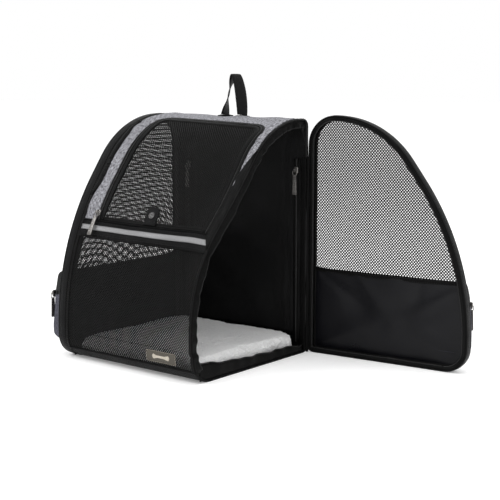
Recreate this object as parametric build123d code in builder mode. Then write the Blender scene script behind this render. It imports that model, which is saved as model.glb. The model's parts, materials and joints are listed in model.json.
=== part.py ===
from build123d import *
import os
from collections import namedtuple
from math import cos, radians, sin, tan

# Backpack style pet carrier. Millimetres, +Z up, the curved front faces -Y, the flat back +Y.
# The origin is the centre of the base. The left door (-X) is shut and the right door (+X) stands open.

# Overall size
body_width = 298.0  # between the two side rims
depth = 303.0
height = 420.0
door_depth = 19.5  # how far a door's gusset stands out from its rim
cloth = 3.0  # padded cloth wall
touch = 0.05  # left between pieces that are sewn face to face
door_gap = 0.4  # between a door and its rim
door_open_angle = 95.4  # how far the right door stands open
door_lift = 1.0  # keeps a swinging door off the floor

# Side outline, from the base upwards
foot_radius = 40.0
heel_radius = 10.0
rise_height = 10.5
top_corner = 12.0
door_corner = 51.0
front_radius = 449.0
front_lean = 36.15  # degrees from the vertical at the top of the front curve
top_start = 100.5  # where the flat top begins
slack_radius = 297.0  # the same on the open side, where the cloth sags inwards
slack_lean = 38.1
slack_drop = 6.0
slack_top_start = 130.0

# Front panels
base_edge = 20.0  # the base tray's turned up edge
band_low = 215.0
band_high = 242.5
stripe_low = 226.0
stripe_high = 234.0
binding_width = 7.0
seam_tilt = 1.7  # degrees that the front's cross seams drop towards the open side
window_half = 121.5
window_shift = 6.5  # the window sits towards the open side
zip_width = 7.5
window_gap = 0.5
flap_frame = 9.0
flap_low = 243.7
flap_hem = 6.0
window_top = 318.0  # measured up the window's slope
window_corner = 30.0
window_slope = 50.0  # degrees that the window looks upwards
strip_end = 30.0  # y where the side strips meet the top panel
trim_proud = 1.5  # trim sewn on top of the cloth
label_span = (46.0, 110.0)
label_heights = (28.0, 46.0)
tab_x = 5.0  # middle of the snap tab on the flap's hem
tab_width = 26.0
tab_length = 32.0
tab_chamfer = 5.0
tab_thickness = 2.0
cap_radius = 6.0
cap_height = 2.0

# Zip tapes, sliders and pulls
tape_depth = 11.0
tape_span = (0.6, 3.0)  # how far the rim's tape lies behind the rim
tape_end = 14.0  # where the tape stops short of the back
web_span = (3.1, 4.6)  # how far the corner webs lie behind the rim
window_slider_height = 254.0
slider_width = 9.0
slider_length = 12.0
slider_plate = 3.0
bridge_width = 3.0
bridge_length = 8.0
bridge_height = 4.8
bridge_slot = 3.2
slot_length = 4.6
pull_width = 10.0
pull_length = 44.0
pull_thickness = 2.0
pull_bar = 1.8
pull_window = 8.0
pull_arm = 2.4
pull_corner = 0.85

# Doors
border_width = 5.0
net_split = 148.0  # the net starts here, above a nylon panel
hoop_width = 5.0
hoop_thickness = 1.3
pocket_inset = 2.0
pocket_low = 30.0
pocket_high = 150.0
pocket_depth = 21.0
pocket_taper = 5.0
pocket_zip_height = 108.0
pocket_zip_half = 143.5
pocket_zip_width = 10.0
pocket_zip_thickness = 1.2
pocket_slider_y = -139.0
lip_thickness = 2.0  # the zip tape's lip on the door's free edge

# Inside
board_size = (284.0, 250.0)
board_y = 14.0
board_corner = 12.0
board_thickness = 4.0
pad_size = (290.0, 282.0)
pad_y = -2.0
pad_corner = 30.0
pad_thickness = 28.0
pad_round = 9.0
hinge_zip_x = 127.0
hinge_zip_half = 7.0
hinge_zip_low = 16.0
hinge_zip_top = 345.0
hinge_zip_thickness = 1.5
hinge_slider_z = 325.0

# Handle, straps and small trim
handle_y = 127.0
handle_width = 25.0
handle_rise = 77.0
handle_half = 20.0
anchor_inside = 8.0  # how far an anchor reaches inwards from the handle's foot
anchor_outside = 6.0
webbing = 2.0
strap_y = 158.0
strap_thickness = 10.0
strap_high = 390.0
strap_low = 150.0
lock_x = 100.0
lock_z = 136.0
lock_size = (42.0, 26.0)
lock_slot = (30.0, 3.0)
lock_slot_z = 6.5
lock_thickness = 4.0
back_pad_size = (236.0, 332.0)
back_pad_z = 226.0
back_pad_corner = 22.0
back_pad_thickness = 6.0
soft_edge = 3.0

half_width = body_width / 2
half_depth = depth / 2
hinge_x = half_width + door_gap / 2
door_inner = half_width + door_gap
door_outer = half_width + door_depth
panel_inner = door_outer - cloth + touch
panel_outer = door_outer - touch

Rim = namedtuple("Rim", "radius lean run shoulder top")


def solve_rim(radius, lean, top, flat_start):
    """Finds the straight run and the shoulder radius that bring a front curve to the flat top."""
    s = sin(radians(lean))
    c = cos(radians(lean))
    across = flat_start + half_depth - radius * (1 - c)
    up = top - foot_radius - rise_height - radius * s
    run = (up * c - across * (1 - s)) / (1 - s)
    shoulder = (across * c - up * s) / (1 - s)
    return Rim(radius, lean, run, shoulder, top)


full_rim = solve_rim(front_radius, front_lean, height, top_start)
slack_rim = solve_rim(slack_radius, slack_lean, height - slack_drop, slack_top_start)


def side_face(rim, x, inset, corner):
    """Side outline standing at x, drawn inset from the outer cloth."""
    back = half_depth - inset
    high = rim.top - inset
    foot_r = foot_radius - inset
    heel_r = max(heel_radius - inset, 1)
    corner_r = max(corner - inset, 1)
    with BuildSketch(Plane.YZ.offset(x)) as face:
        with BuildLine():
            foot = JernArc((-half_depth + foot_radius, inset), (-1, 0), foot_r, -90)
            rise = Line(foot @ 1, foot @ 1 + Vector(0, rise_height))
            curve = JernArc(rise @ 1, (0, 1), rim.radius - inset, -rim.lean)
            run = Line(curve @ 1, curve @ 1 + (curve % 1) * rim.run)
            shoulder = JernArc(run @ 1, run % 1, rim.shoulder - inset, rim.lean - 90)
            turn = Vector(back - corner_r, high)
            if (turn - shoulder @ 1).length > touch:
                Line(shoulder @ 1, turn)
            else:
                turn = shoulder @ 1
            top_turn = JernArc(turn, (1, 0), corner_r, -90)
            spine = Line(top_turn @ 1, (back, inset + heel_r))
            heel = JernArc(spine @ 1, (0, -1), heel_r, -90)
            Line(heel @ 1, foot @ 0)
        make_face()
    return face.sketch


def body_block(inset):
    """The whole body as a solid, from the firm left outline to the slack right one."""
    left = side_face(full_rim, -half_width, inset, top_corner)
    right = side_face(slack_rim, half_width, inset, top_corner)
    with BuildPart() as block:
        loft(sections=[left, right], ruled=True)
    return block.part


outside = body_block(0)
inside = body_block(cloth)
proud = body_block(-trim_proud)
just_proud = body_block(-touch)
lining = body_block(cloth + touch)
tape_line = body_block(cloth + tape_depth)

pieces = {}


def finish(name, builder):
    """Labels a finished piece and keeps it for export."""
    builder.part.label = name
    pieces[name] = builder.part


def span(x, y, z):
    """A box between low and high values along each axis."""
    with BuildPart() as block:
        with Locations(((x[0] + x[1]) / 2, (y[0] + y[1]) / 2, (z[0] + z[1]) / 2)):
            Box(x[1] - x[0], y[1] - y[0], z[1] - z[0])
    return block.part


def between_seams(low, high):
    """What lies between two cross seams of the front, which drop towards the open side."""
    firm_edge = Axis((-half_width, 0, 0), (0, 1, 0))
    return span(everywhere, everywhere, (low, high)).rotate(firm_edge, seam_tilt)


def seam_height(x, low):
    """The height at x of a seam that is low above the base at the firm side."""
    return low - (x + half_width) * tan(radians(seam_tilt))


def layer(name, outer, inner, *regions, drop=None):
    """One piece of the cloth wall: what lies between two blocks and inside every region."""
    with BuildPart() as piece:
        add(outer)
        add(inner, mode=Mode.SUBTRACT)
        for region in regions:
            add(region, mode=Mode.INTERSECT)
        if drop:
            add(drop, mode=Mode.SUBTRACT)
    finish(name, piece)


everywhere = (-500, 500)
inner_width = half_width - binding_width
between_bindings = (-inner_width, inner_width)
back_edge = half_depth - top_corner
front_only = (-500, strip_end)
above_base = (base_edge, 500)


def window_prism(half, top, corner):
    """A prism that looks square onto the window and cuts its outline out of the curved front."""
    tilt = radians(window_slope)
    view = Plane(origin=(0, 0, 0), x_dir=(1, 0, 0), z_dir=(0, -cos(tilt), sin(tilt)))
    low = window_top / 8
    with BuildPart() as prism:
        with BuildSketch(view.offset(height / 2)) as outline:
            with Locations((window_shift, (low + top) / 2)):
                Rectangle(2 * half, top - low)
            fillet(outline.vertices().group_by(Axis.Y)[-1], corner)
        extrude(amount=height / 3)
    return prism.part


opening = window_prism(window_half, window_top, window_corner)
zip_inner = window_prism(window_half - zip_width, window_top - zip_width, window_corner - zip_width)
flap_edge = zip_width + window_gap
flap_outer = window_prism(window_half - flap_edge, window_top - flap_edge, window_corner - flap_edge)
net_edge = flap_edge + flap_frame
flap_net = window_prism(window_half - net_edge, window_top - net_edge, window_corner - net_edge)

# Body walls
layer("base_panel", outside, inside, span(everywhere, everywhere, (-5, base_edge)))
layer("back_panel", outside, inside, span(everywhere, (back_edge, 200), above_base))
front = span(between_bindings, front_only, above_base)
above_band = between_seams(band_high, 500)
layer("lower_front_net", outside, inside, front, between_seams(-50, band_low))
layer("front_band", outside, inside, front, between_seams(band_low, band_high))
top = span(between_bindings, (strip_end, back_edge), (300, 500))
layer("top_panel", outside, inside, top, drop=opening)
left_strip = span((-inner_width, window_shift - window_half), front_only, above_base)
right_strip = span((window_shift + window_half, inner_width), front_only, above_base)
layer("side_strip_left", outside, inside, left_strip, above_band)
layer("side_strip_right", outside, inside, right_strip, above_band)
left_binding = span((-half_width, -inner_width), (-500, back_edge), above_base)
right_binding = span((inner_width, half_width), (-500, back_edge), above_base)
layer("rim_binding_left", proud, inside, left_binding)
layer("rim_binding_right", proud, inside, right_binding)

# Front trim
stripe = between_seams(stripe_low, stripe_high)
layer("reflective_strip", proud, just_proud, front, stripe)
layer("label_patch", proud, just_proud, span(label_span, front_only, label_heights))

# Window: a zip that stays on the body, and a flap that hinges along its lower hem
with BuildPart() as window_zip:
    add(outside)
    add(inside, mode=Mode.SUBTRACT)
    add(opening, mode=Mode.INTERSECT)
    add(zip_inner, mode=Mode.SUBTRACT)
    add(above_band, mode=Mode.INTERSECT)
finish("window_zip", window_zip)

above_hem = between_seams(flap_low + flap_hem, 500)
with BuildPart() as window_frame:
    add(outside)
    add(inside, mode=Mode.SUBTRACT)
    add(flap_outer, mode=Mode.INTERSECT)
    add(between_seams(flap_low, 500), mode=Mode.INTERSECT)
    with BuildPart(mode=Mode.SUBTRACT):
        add(flap_net)
        add(above_hem, mode=Mode.INTERSECT)
finish("window_frame", window_frame)

with BuildPart() as window_net:
    add(outside)
    add(inside, mode=Mode.SUBTRACT)
    add(flap_net, mode=Mode.INTERSECT)
    add(above_hem, mode=Mode.INTERSECT)
finish("window_net", window_net)

# Zip tapes that edge the two side openings, and the closed zips along the hinges
for side, name in ((-1, "left"), (1, "right")):
    tape_x = sorted(side * (half_width - reach) for reach in tape_span)
    tape_region = span(tape_x, (-500, half_depth - tape_end), everywhere)
    layer(f"rim_zip_{name}", lining, tape_line, tape_region)

    # A web that closes the body's back top corner, where the door's corner is rounder
    web_near, web_far = (side * (half_width - reach) for reach in web_span)
    beyond_turn = (half_depth - door_corner, 200)
    web_drop = slack_drop if side > 0 else 0
    with BuildPart() as web:
        add(lining)
        add(span(sorted((web_near, web_far)), beyond_turn, (height - door_corner, 500)), mode=Mode.INTERSECT)
        hole = side_face(full_rim, web_near, cloth + web_drop, door_corner)
        extrude(hole, amount=web_far - web_near, mode=Mode.SUBTRACT)
    finish(f"corner_web_{name}", web)

    edges = sorted(side * (hinge_zip_x + reach) for reach in (-hinge_zip_half, hinge_zip_half))
    tape_y = (half_depth - cloth - hinge_zip_thickness, half_depth - cloth - touch)
    with BuildPart() as hinge_zip:
        add(span(edges, tape_y, (hinge_zip_low, hinge_zip_top)))
    finish(f"hinge_zip_{name}", hinge_zip)

# Floor of the cabin
board_z = cloth + touch
with BuildPart() as base_board:
    with BuildSketch(Plane.XY.offset(board_z)):
        with Locations((0, board_y)):
            RectangleRounded(*board_size, board_corner)
    extrude(amount=board_thickness)
finish("base_board", base_board)

pad_z = board_z + board_thickness + touch
with BuildPart() as fleece_pad:
    with BuildSketch(Plane.XY.offset(pad_z)):
        with Locations((0, pad_y)):
            RectangleRounded(*pad_size, pad_corner)
    extrude(amount=pad_thickness)
    fillet(fleece_pad.faces().sort_by(Axis.Z)[-1].edges(), pad_round)
    add(lining, mode=Mode.INTERSECT)
finish("fleece_pad", fleece_pad)


def slider_on(frame):
    """Zip slider: a plate with a slotted bridge that the pull's bar goes through."""
    middle = slider_plate + bridge_height / 2
    with BuildPart() as slider:
        with BuildSketch(frame):
            RectangleRounded(slider_width, slider_length, 2.5)
        extrude(amount=slider_plate)
        with BuildSketch(frame.offset(slider_plate)):
            Rectangle(bridge_width, bridge_length)
        extrude(amount=bridge_height)
        with Locations(frame.offset(middle)):
            Box(slider_width, slot_length, bridge_slot, mode=Mode.SUBTRACT)
    return slider


def pull_on(frame):
    """Zip pull: a bar through the slider's bridge, two arms and a flat tab hanging from them."""
    middle = slider_plate + bridge_height / 2
    with BuildPart() as pull:
        with BuildSketch(frame.offset(middle - pull_thickness / 2)):
            with Locations((0, -pull_length / 2 + pull_bar / 2)):
                RectangleRounded(pull_width, pull_length, pull_corner)
            with Locations((0, -pull_bar / 2 - pull_window / 2)):
                Rectangle(pull_width - 2 * pull_arm, pull_window, mode=Mode.SUBTRACT)
        extrude(amount=pull_thickness)
    return pull


def surface_frame(x, z):
    """Plane on the front cloth at x and height z, with its own y axis running up the cloth."""
    ray = Axis((x, -depth, z), (0, 1, 0))
    point, normal = proud.find_intersection_points(ray)[0]
    return Plane(origin=point, x_dir=(1, 0, 0), z_dir=normal)


window_slider_x = window_shift - window_half + zip_width / 5
window_slider_frame = surface_frame(window_slider_x, window_slider_height)
finish("window_slider", slider_on(window_slider_frame.offset(touch)))
finish("window_pull", pull_on(window_slider_frame.offset(touch)))

# Snap tab, hinged on the flap's lower hem and lying up the net
tab_frame = surface_frame(tab_x, seam_height(tab_x, flap_low + cloth))
with BuildPart() as snap_tab:
    with BuildSketch(tab_frame.offset(touch)) as tab_outline:
        with Locations((0, tab_length / 2)):
            Rectangle(tab_width, tab_length)
        chamfer(tab_outline.vertices().group_by(Axis.Y)[-1], tab_chamfer)
    extrude(amount=tab_thickness)
finish("snap_tab", snap_tab)
with BuildPart() as snap_cap:
    with BuildSketch(tab_frame.offset(tab_thickness + 2 * touch)):
        with Locations((0, tab_length / 2)):
            Circle(cap_radius)
    extrude(amount=cap_height)
    outwards = Axis(tab_frame.origin, tab_frame.z_dir)
    fillet(snap_cap.faces().sort_by(outwards)[-1].edges(), 0.6 * cap_height)
finish("snap_cap", snap_cap)

# Sliders of the two hinge zips, inside the cabin on the back wall
hinge_frames = {}
for side, name in ((-1, "left"), (1, "right")):
    tape_face = half_depth - cloth - hinge_zip_thickness - touch
    place = (side * hinge_zip_x, tape_face, hinge_slider_z)
    hinge_frames[name] = Plane(origin=place, x_dir=(1, 0, 0), z_dir=(0, -1, 0))
    finish(f"hinge_slider_{name}", slider_on(hinge_frames[name]))
    finish(f"hinge_pull_{name}", pull_on(hinge_frames[name]))


def ring(side, near, far, outer, inner):
    """A band that follows the door's outline, between two distances from the middle of the bag."""
    with BuildPart() as band:
        extrude(side_face(full_rim, side * near, outer, door_corner), amount=side * (far - near))
        hole = side_face(full_rim, side * near, inner, door_corner)
        extrude(hole, amount=side * (far - near), mode=Mode.SUBTRACT)
    return band


def door_field(side, near, far, heights):
    """The part of the door's flat face, inside its border, between two heights."""
    inset = cloth + touch + border_width + touch
    with BuildPart() as field:
        extrude(side_face(full_rim, side * near, inset, door_corner), amount=side * (far - near))
        add(span(everywhere, everywhere, heights), mode=Mode.INTERSECT)
    return field


def door_pieces(side):
    """Every piece of one door, in the shut position."""
    made = {}
    made["gusset"] = ring(side, door_inner, door_outer, 0, cloth)
    lip_x = door_inner + lip_thickness
    made["door_zip"] = ring(side, door_inner, lip_x, cloth + touch, cloth + tape_depth)
    border_edge = cloth + touch + border_width
    made["door_border"] = ring(side, panel_inner, panel_outer, cloth + touch, border_edge)
    hoop_far = panel_inner - lip_thickness
    hoop_edge = cloth + touch + hoop_thickness
    made["door_hoop"] = ring(side, hoop_far - hoop_width, hoop_far, cloth + touch, hoop_edge)
    net_near = panel_inner + cloth / 3
    net_far = panel_outer - cloth / 3
    made["door_net"] = door_field(side, net_near, net_far, (net_split + touch, 500))
    made["door_panel"] = door_field(side, panel_inner, panel_outer, (-5, net_split))
    pocket_near = door_outer + touch
    with BuildPart() as pocket:
        base = side_face(full_rim, side * pocket_near, pocket_inset, door_corner)
        extrude(base, amount=side * pocket_depth, taper=pocket_taper)
        add(span(everywhere, everywhere, (pocket_low, pocket_high)), mode=Mode.INTERSECT)
    made["pocket"] = pocket
    face_x = pocket_near + pocket_depth + touch
    zip_x = sorted((side * face_x, side * (face_x + pocket_zip_thickness)))
    zip_y = (-pocket_zip_half, pocket_zip_half)
    zip_z = (pocket_zip_height - pocket_zip_width / 2, pocket_zip_height + pocket_zip_width / 2)
    with BuildPart() as pocket_zip:
        add(span(zip_x, zip_y, zip_z))
    made["pocket_zip"] = pocket_zip
    slider_x = face_x + pocket_zip_thickness + touch
    place = (side * slider_x, pocket_slider_y, pocket_zip_height)
    frame = Plane(origin=place, x_dir=(0, side, 0), z_dir=(side, 0, 0))
    made["pocket_slider"] = slider_on(frame)
    made["pocket_pull"] = pull_on(frame)
    return made, frame


# Both doors are made shut; the right one is then swung open about its fabric hinge
door_hinge = Axis((hinge_x, half_depth, 0), (0, 0, 1))
left_door, left_pocket_frame = door_pieces(-1)
right_door, right_pocket_frame = door_pieces(1)
for name, door, swing in (("left", left_door, 0), ("right", right_door, door_open_angle)):
    for kind, builder in door.items():
        hung = builder.part.translate((0, 0, door_lift)).rotate(door_hinge, swing)
        hung.label = f"{kind}_{name}"
        pieces[hung.label] = hung

# Grab handle: a webbing loop that folds back about its rear edge
anchor_x = (handle_half - anchor_inside, handle_half + anchor_outside)
handle_span = (handle_y - handle_width / 2, handle_y + handle_width / 2)
with BuildPart() as handle_anchors:
    add(proud)
    add(just_proud, mode=Mode.SUBTRACT)
    with BuildPart(mode=Mode.INTERSECT):
        add(span(anchor_x, handle_span, (300, 500)))
        add(span((-anchor_x[1], -anchor_x[0]), handle_span, (300, 500)))
finish("handle_anchors", handle_anchors)

handle_low = height - 0.6
handle_top = handle_low + handle_rise
with BuildPart() as handle:
    with BuildLine(Plane.XZ.offset(-handle_y)) as loop:
        up = ThreePointArc((-handle_half, handle_low), (-handle_half + 3, handle_low + 40), (-7, handle_top - 8))
        over = TangentArc(up @ 1, (7, handle_top - 8), tangent=up % 1)
        ThreePointArc(over @ 1, (handle_half - 3, handle_low + 40), (handle_half, handle_low))
    with BuildSketch(Plane(origin=loop.line @ 0, x_dir=(0, 1, 0), z_dir=loop.line % 0)):
        Rectangle(handle_width, webbing)
    sweep(path=loop.line, transition=Transition.RIGHT)
finish("handle", handle)

# Back: a quilted pad and two shoulder straps with their lower webbing and ladder locks
pad_face = half_depth + touch
with BuildPart() as back_pad:
    with BuildSketch(Plane.XZ.offset(-pad_face)):
        with Locations((0, back_pad_z)):
            RectangleRounded(*back_pad_size, back_pad_corner)
    extrude(amount=-back_pad_thickness)
    fillet(back_pad.faces().sort_by(Axis.Y)[-1].edges(), soft_edge)
finish("back_pad", back_pad)

for side, name in ((-1, "left"), (1, "right")):
    with BuildPart() as strap:
        with BuildSketch(Plane.XZ.offset(-strap_y)):
            with BuildLine():
                middle = (strap_low + strap_high) / 2
                start = (side * 15, strap_high)
                tip = (side * (lock_x - 18), strap_low)
                inner = ThreePointArc(start, (side * 42, middle), tip)
                end = Line(inner @ 1, (side * (lock_x + 18), strap_low))
                outer = ThreePointArc(end @ 1, (side * 106, middle), (side * 75, strap_high))
                Line(outer @ 1, inner @ 0)
            make_face()
        extrude(amount=-strap_thickness)
        fillet(strap.faces().sort_by(Axis.Y)[-1].edges(), soft_edge)
    finish(f"shoulder_strap_{name}", strap)

    with BuildPart() as lock:
        with BuildSketch(Plane.XZ.offset(-strap_y - 3)):
            with Locations((side * lock_x, lock_z)):
                RectangleRounded(*lock_size, soft_edge)
                with Locations((0, lock_slot_z), (0, -lock_slot_z)):
                    Rectangle(*lock_slot, mode=Mode.SUBTRACT)
        extrude(amount=-lock_thickness)
    finish(f"ladder_lock_{name}", lock)

    with BuildPart() as tail:
        # It is sewn to the back near the base, bends outwards and rises behind the lock
        sewn = half_depth + 0.2
        bent = sewn + strap_thickness - lock_thickness
        behind = strap_y + 0.8
        with BuildSketch(Plane.YZ.offset(side * lock_x)):
            with BuildLine():
                Polyline(
                    (behind + webbing, lock_z + strap_thickness),
                    (behind, lock_z + strap_thickness),
                    (bent, 62),
                    (sewn, 50),
                    (sewn, 24),
                    (sewn + webbing, 24),
                    (sewn + webbing, 50),
                    (bent + webbing, 62),
                    close=True,
                )
            make_face()
        extrude(amount=handle_width / 2, both=True)
    finish(f"strap_webbing_{name}", tail)

os.makedirs("parts", exist_ok=True)
for name, piece in pieces.items():
    export_step(piece, f"parts/{name}.step")


def report(name, frame, turn=0, lift=0):
    """Prints where a pull turns, in metres, and its pin's direction, after any swing of its door."""
    pin = frame.offset(slider_plate + bridge_height / 2).origin + Vector(0, 0, lift)
    place = door_hinge.position + (pin - door_hinge.position).rotate(Axis.Z, turn)
    across = frame.x_dir.rotate(Axis.Z, turn)
    print(name, [round(value / 1000, 5) for value in place], [round(value, 5) for value in across])


report("window_pull", window_slider_frame.offset(touch))
report("hinge_pull_left", hinge_frames["left"])
report("hinge_pull_right", hinge_frames["right"])
report("pocket_pull_left", left_pocket_frame, 0, door_lift)
report("pocket_pull_right", right_pocket_frame, door_open_angle, door_lift)
flap_ends = [surface_frame(x, seam_height(x, band_high + 0.6)).origin for x in (-100, 100)]
print("window hinge", tuple(flap_ends[0]), tuple((flap_ends[1] - flap_ends[0]).normalized()))
print("snap tab", tuple(tab_frame.origin), tuple(tab_frame.x_dir))
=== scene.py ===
"""The looks of the pet carrier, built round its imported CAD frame, in metres and in the frame's own axes.

The front faces -Y and the flat back +Y. The left door (-X) is shut and the right door (+X) stands open.
"""

import json
from functools import lru_cache
from math import cos, pi, radians, sin, tau

import bmesh
import bpy
import numpy as np
from mathutils import Matrix, Vector, noise


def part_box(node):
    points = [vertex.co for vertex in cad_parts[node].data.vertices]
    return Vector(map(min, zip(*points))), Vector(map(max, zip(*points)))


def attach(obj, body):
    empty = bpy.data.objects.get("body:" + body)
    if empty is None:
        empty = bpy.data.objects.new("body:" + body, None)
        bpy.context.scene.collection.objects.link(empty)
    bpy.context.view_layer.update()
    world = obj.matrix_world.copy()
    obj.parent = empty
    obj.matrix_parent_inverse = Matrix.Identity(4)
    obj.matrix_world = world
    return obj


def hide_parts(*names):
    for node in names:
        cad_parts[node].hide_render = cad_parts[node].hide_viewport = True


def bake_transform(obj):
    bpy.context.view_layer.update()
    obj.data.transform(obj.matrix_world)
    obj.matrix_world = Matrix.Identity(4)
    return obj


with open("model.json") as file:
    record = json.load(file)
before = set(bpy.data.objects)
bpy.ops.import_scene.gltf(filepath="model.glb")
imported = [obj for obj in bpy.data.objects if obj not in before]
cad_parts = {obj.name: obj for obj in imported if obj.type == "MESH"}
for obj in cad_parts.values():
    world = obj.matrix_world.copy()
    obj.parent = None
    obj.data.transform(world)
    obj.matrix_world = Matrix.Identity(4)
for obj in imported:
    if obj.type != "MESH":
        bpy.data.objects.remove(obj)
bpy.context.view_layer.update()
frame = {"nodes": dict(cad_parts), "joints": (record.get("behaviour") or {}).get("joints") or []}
joints = {joint["name"]: joint for joint in frame["joints"]}
SIDES = ((-1, "left"), (1, "right"))

# Driving dimensions, read from the frame where it has them
half_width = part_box("rim_binding_right")[1].x
half_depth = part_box("back_panel")[1].y
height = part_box("top_panel")[1].z
base_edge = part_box("base_panel")[1].z
seam_tilt = radians(1.7)  # the front's cross seams drop towards the open side
band_low = 0.215
band_high = 0.2425
stripe_low = 0.226
stripe_high = 0.234
slack_pull = 0.011  # how far the slack rim is drawn towards the middle
window_dip = 0.010  # how far the cloth sags beside the window
window_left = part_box("window_zip")[0].x
window_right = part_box("window_zip")[1].x
window_middle = (window_left + window_right) / 2
window_half = (window_right - window_left) / 2
flap_low = 0.2437
door_inner = -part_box("gusset_left")[1].x
door_outer = -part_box("gusset_left")[0].x
door_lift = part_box("gusset_left")[0].z
net_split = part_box("door_panel_left")[1].z - door_lift
pocket_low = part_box("pocket_left")[0].z - door_lift
pocket_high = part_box("pocket_left")[1].z - door_lift
pocket_outer = -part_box("pocket_left")[0].x
cloth = 0.003
binding_width = 0.007
foot_radius = 0.040
heel_radius = 0.010
rise_height = 0.0105
top_corner = 0.012
door_corner = 0.051
strip_end = 0.030
window_slope = radians(50)
window_top = 0.318  # measured up the window's slope
window_corner = 0.030
zip_width = 0.0075
flap_edge = 0.008
net_edge = 0.017
tape_depth = 0.011
border_width = 0.005
door_open = radians(95.4)
hinge = Vector(joints["door_right_hinge"]["pos_m"])


def solve_rim(radius, lean, top, flat_start):
    """A front curve, its straight run and the shoulder that brings it to the flat top."""
    s = sin(lean)
    c = cos(lean)
    across = flat_start + half_depth - radius * (1 - c)
    up = top - foot_radius - rise_height - radius * s
    run = (up * c - across * (1 - s)) / (1 - s)
    shoulder = (across * c - up * s) / (1 - s)
    return radius, lean, run, shoulder, top


firm_rim = solve_rim(0.449, radians(36.15), height, 0.1005)
slack_rim = solve_rim(0.297, radians(38.1), height - 0.006, 0.130)

# The parameter u walks round a side outline: its whole part counts the segments
FOOT, RISE, CURVE, RUN, SHOULDER, TOP, CORNER, BACK, HEEL, BASE, END = range(11)
SEGMENT_STEPS = 24
U_TABLE = np.linspace(0, END, END * SEGMENT_STEPS + 1)


@lru_cache(None)
def outline(rim, inset, corner):
    """Rows of y, z round a side outline that is drawn inset from the outer cloth."""
    radius, lean, run, shoulder, top = rim
    back = half_depth - inset
    corner_r = max(corner - inset, 0.001)
    heel_r = max(heel_radius - inset, 0.001)
    steps = np.linspace(0, 1, SEGMENT_STEPS + 1)[1:, None]
    rows = [np.array([[-half_depth + foot_radius, inset]])]
    heading = pi

    def arc(r, turn):
        nonlocal heading
        centre = rows[-1][-1] + r * np.array((sin(heading), -cos(heading)))
        angles = heading - turn * steps
        rows.append(centre + r * np.hstack((-np.sin(angles), np.cos(angles))))
        heading -= turn

    def line(y, z):
        rows.append(rows[-1][-1] + steps * (np.array((y, z)) - rows[-1][-1]))

    arc(foot_radius - inset, pi / 2)
    here = rows[-1][-1]
    line(here[0], here[1] + rise_height)
    arc(radius - inset, lean)
    here = rows[-1][-1]
    line(here[0] + run * cos(heading), here[1] + run * sin(heading))
    arc(shoulder - inset, pi / 2 - lean)
    line(back - corner_r, top - inset)
    arc(corner_r, pi / 2)
    line(back, inset + heel_r)
    arc(heel_r, pi / 2)
    line(-half_depth + foot_radius, inset)
    return np.vstack(rows)


def on_outline(rim, inset, corner, u):
    table = outline(rim, inset, corner)
    return np.interp(u, U_TABLE, table[:, 0]), np.interp(u, U_TABLE, table[:, 1])


def body(x, u, lift=0.0):
    """Points on the body's cloth, lifted proud of it, with their outward normals."""
    x, u, lift = np.broadcast_arrays(*(np.asarray(v, float) for v in (x, u, lift)))
    share = (x + half_width) / (2 * half_width)

    def profile(at):
        y0, z0 = on_outline(firm_rim, 0.0, top_corner, at)
        y1, z1 = on_outline(slack_rim, 0.0, top_corner, at)
        return (1 - share) * y0 + share * y1, (1 - share) * z0 + share * z1, y1 - y0, z1 - z0

    pull = slack_pull * bell(u - 2.7, 0.7) * share**7
    dip = window_dip * bell(u - 3.4, 0.7) * bell(share - 0.82, 0.14)
    y, z, dy, dz = profile(u)
    before = profile(np.maximum(u - 0.03, 0))
    after = profile(np.minimum(u + 0.03, END))
    up = np.stack((0 * x, after[0] - before[0], after[1] - before[1]), -1)
    across = np.stack((0 * x + 2 * half_width, dy, dz), -1)
    normal = unit(np.cross(across, up))
    return np.stack((x - pull, y, z), -1) + normal * (lift - dip)[..., None], normal


def up_slope(points):
    """How far up the window's slope a point lies."""
    return points[..., 1] * sin(window_slope) + points[..., 2] * cos(window_slope)


def u_at(x, value, measure=None):
    """The u where the cloth at each x reaches a height, or a value of another measure."""
    x, value = np.broadcast_arrays(*(np.asarray(v, float) for v in (x, value)))
    walk = U_TABLE[(U_TABLE >= RISE) & (U_TABLE <= CORNER)] if measure else U_TABLE[U_TABLE <= TOP]
    found = np.empty(x.shape)
    for one in np.unique(x):
        points = body(one, walk)[0]
        reached = measure(points) if measure else points[:, 2]
        here = x == one
        found[here] = np.interp(value[here], reached, walk)
    return found


def even_u(x, low, high, count):
    """Values of u from low to high, evenly spaced along the cloth at one x."""
    walk = np.linspace(low, high, 160)
    length = walked(body(x, walk)[0])
    return np.interp(np.linspace(0, length[-1], count), length, walk)


def soft_noise(a, b, size, seed, count=14):
    """A soft random field over cloth coordinates, about -1 to 1, with lumps of a given size."""
    random = np.random.default_rng(seed)
    total = 0 * (a + b)
    for angle, phase, stretch in random.uniform((0, 0, 0.6), (tau, tau, 1.6), (count, 3)):
        total = total + np.sin(tau / (size * stretch) * (a * cos(angle) + b * sin(angle)) + phase)
    return total / (0.8 * count**0.5)


def bell(distance, width):
    return np.exp(-((distance / width) ** 2))


def walked(path):
    """The distance walked along a path to each of its points."""
    return np.append(0, np.cumsum(np.linalg.norm(np.diff(path, axis=0), axis=1)))


def sampled(rows, run, where):
    """Rows of x, y, z, known at the distances run, read off at other distances."""
    return np.stack([np.interp(where, run, rows[:, k]) for k in range(3)], 1)


def unit(vectors):
    return vectors / np.linalg.norm(vectors, axis=-1, keepdims=True)


def moved(points, matrix):
    """Points taken through a matrix."""
    matrix = np.array(matrix)
    return points @ matrix[:3, :3].T + matrix[:3, 3]


def facing(points, axis, sign=1.0):
    """The same direction at every point: along one axis, or against it."""
    out = np.zeros_like(points)
    out[..., axis] = sign
    return out


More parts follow.
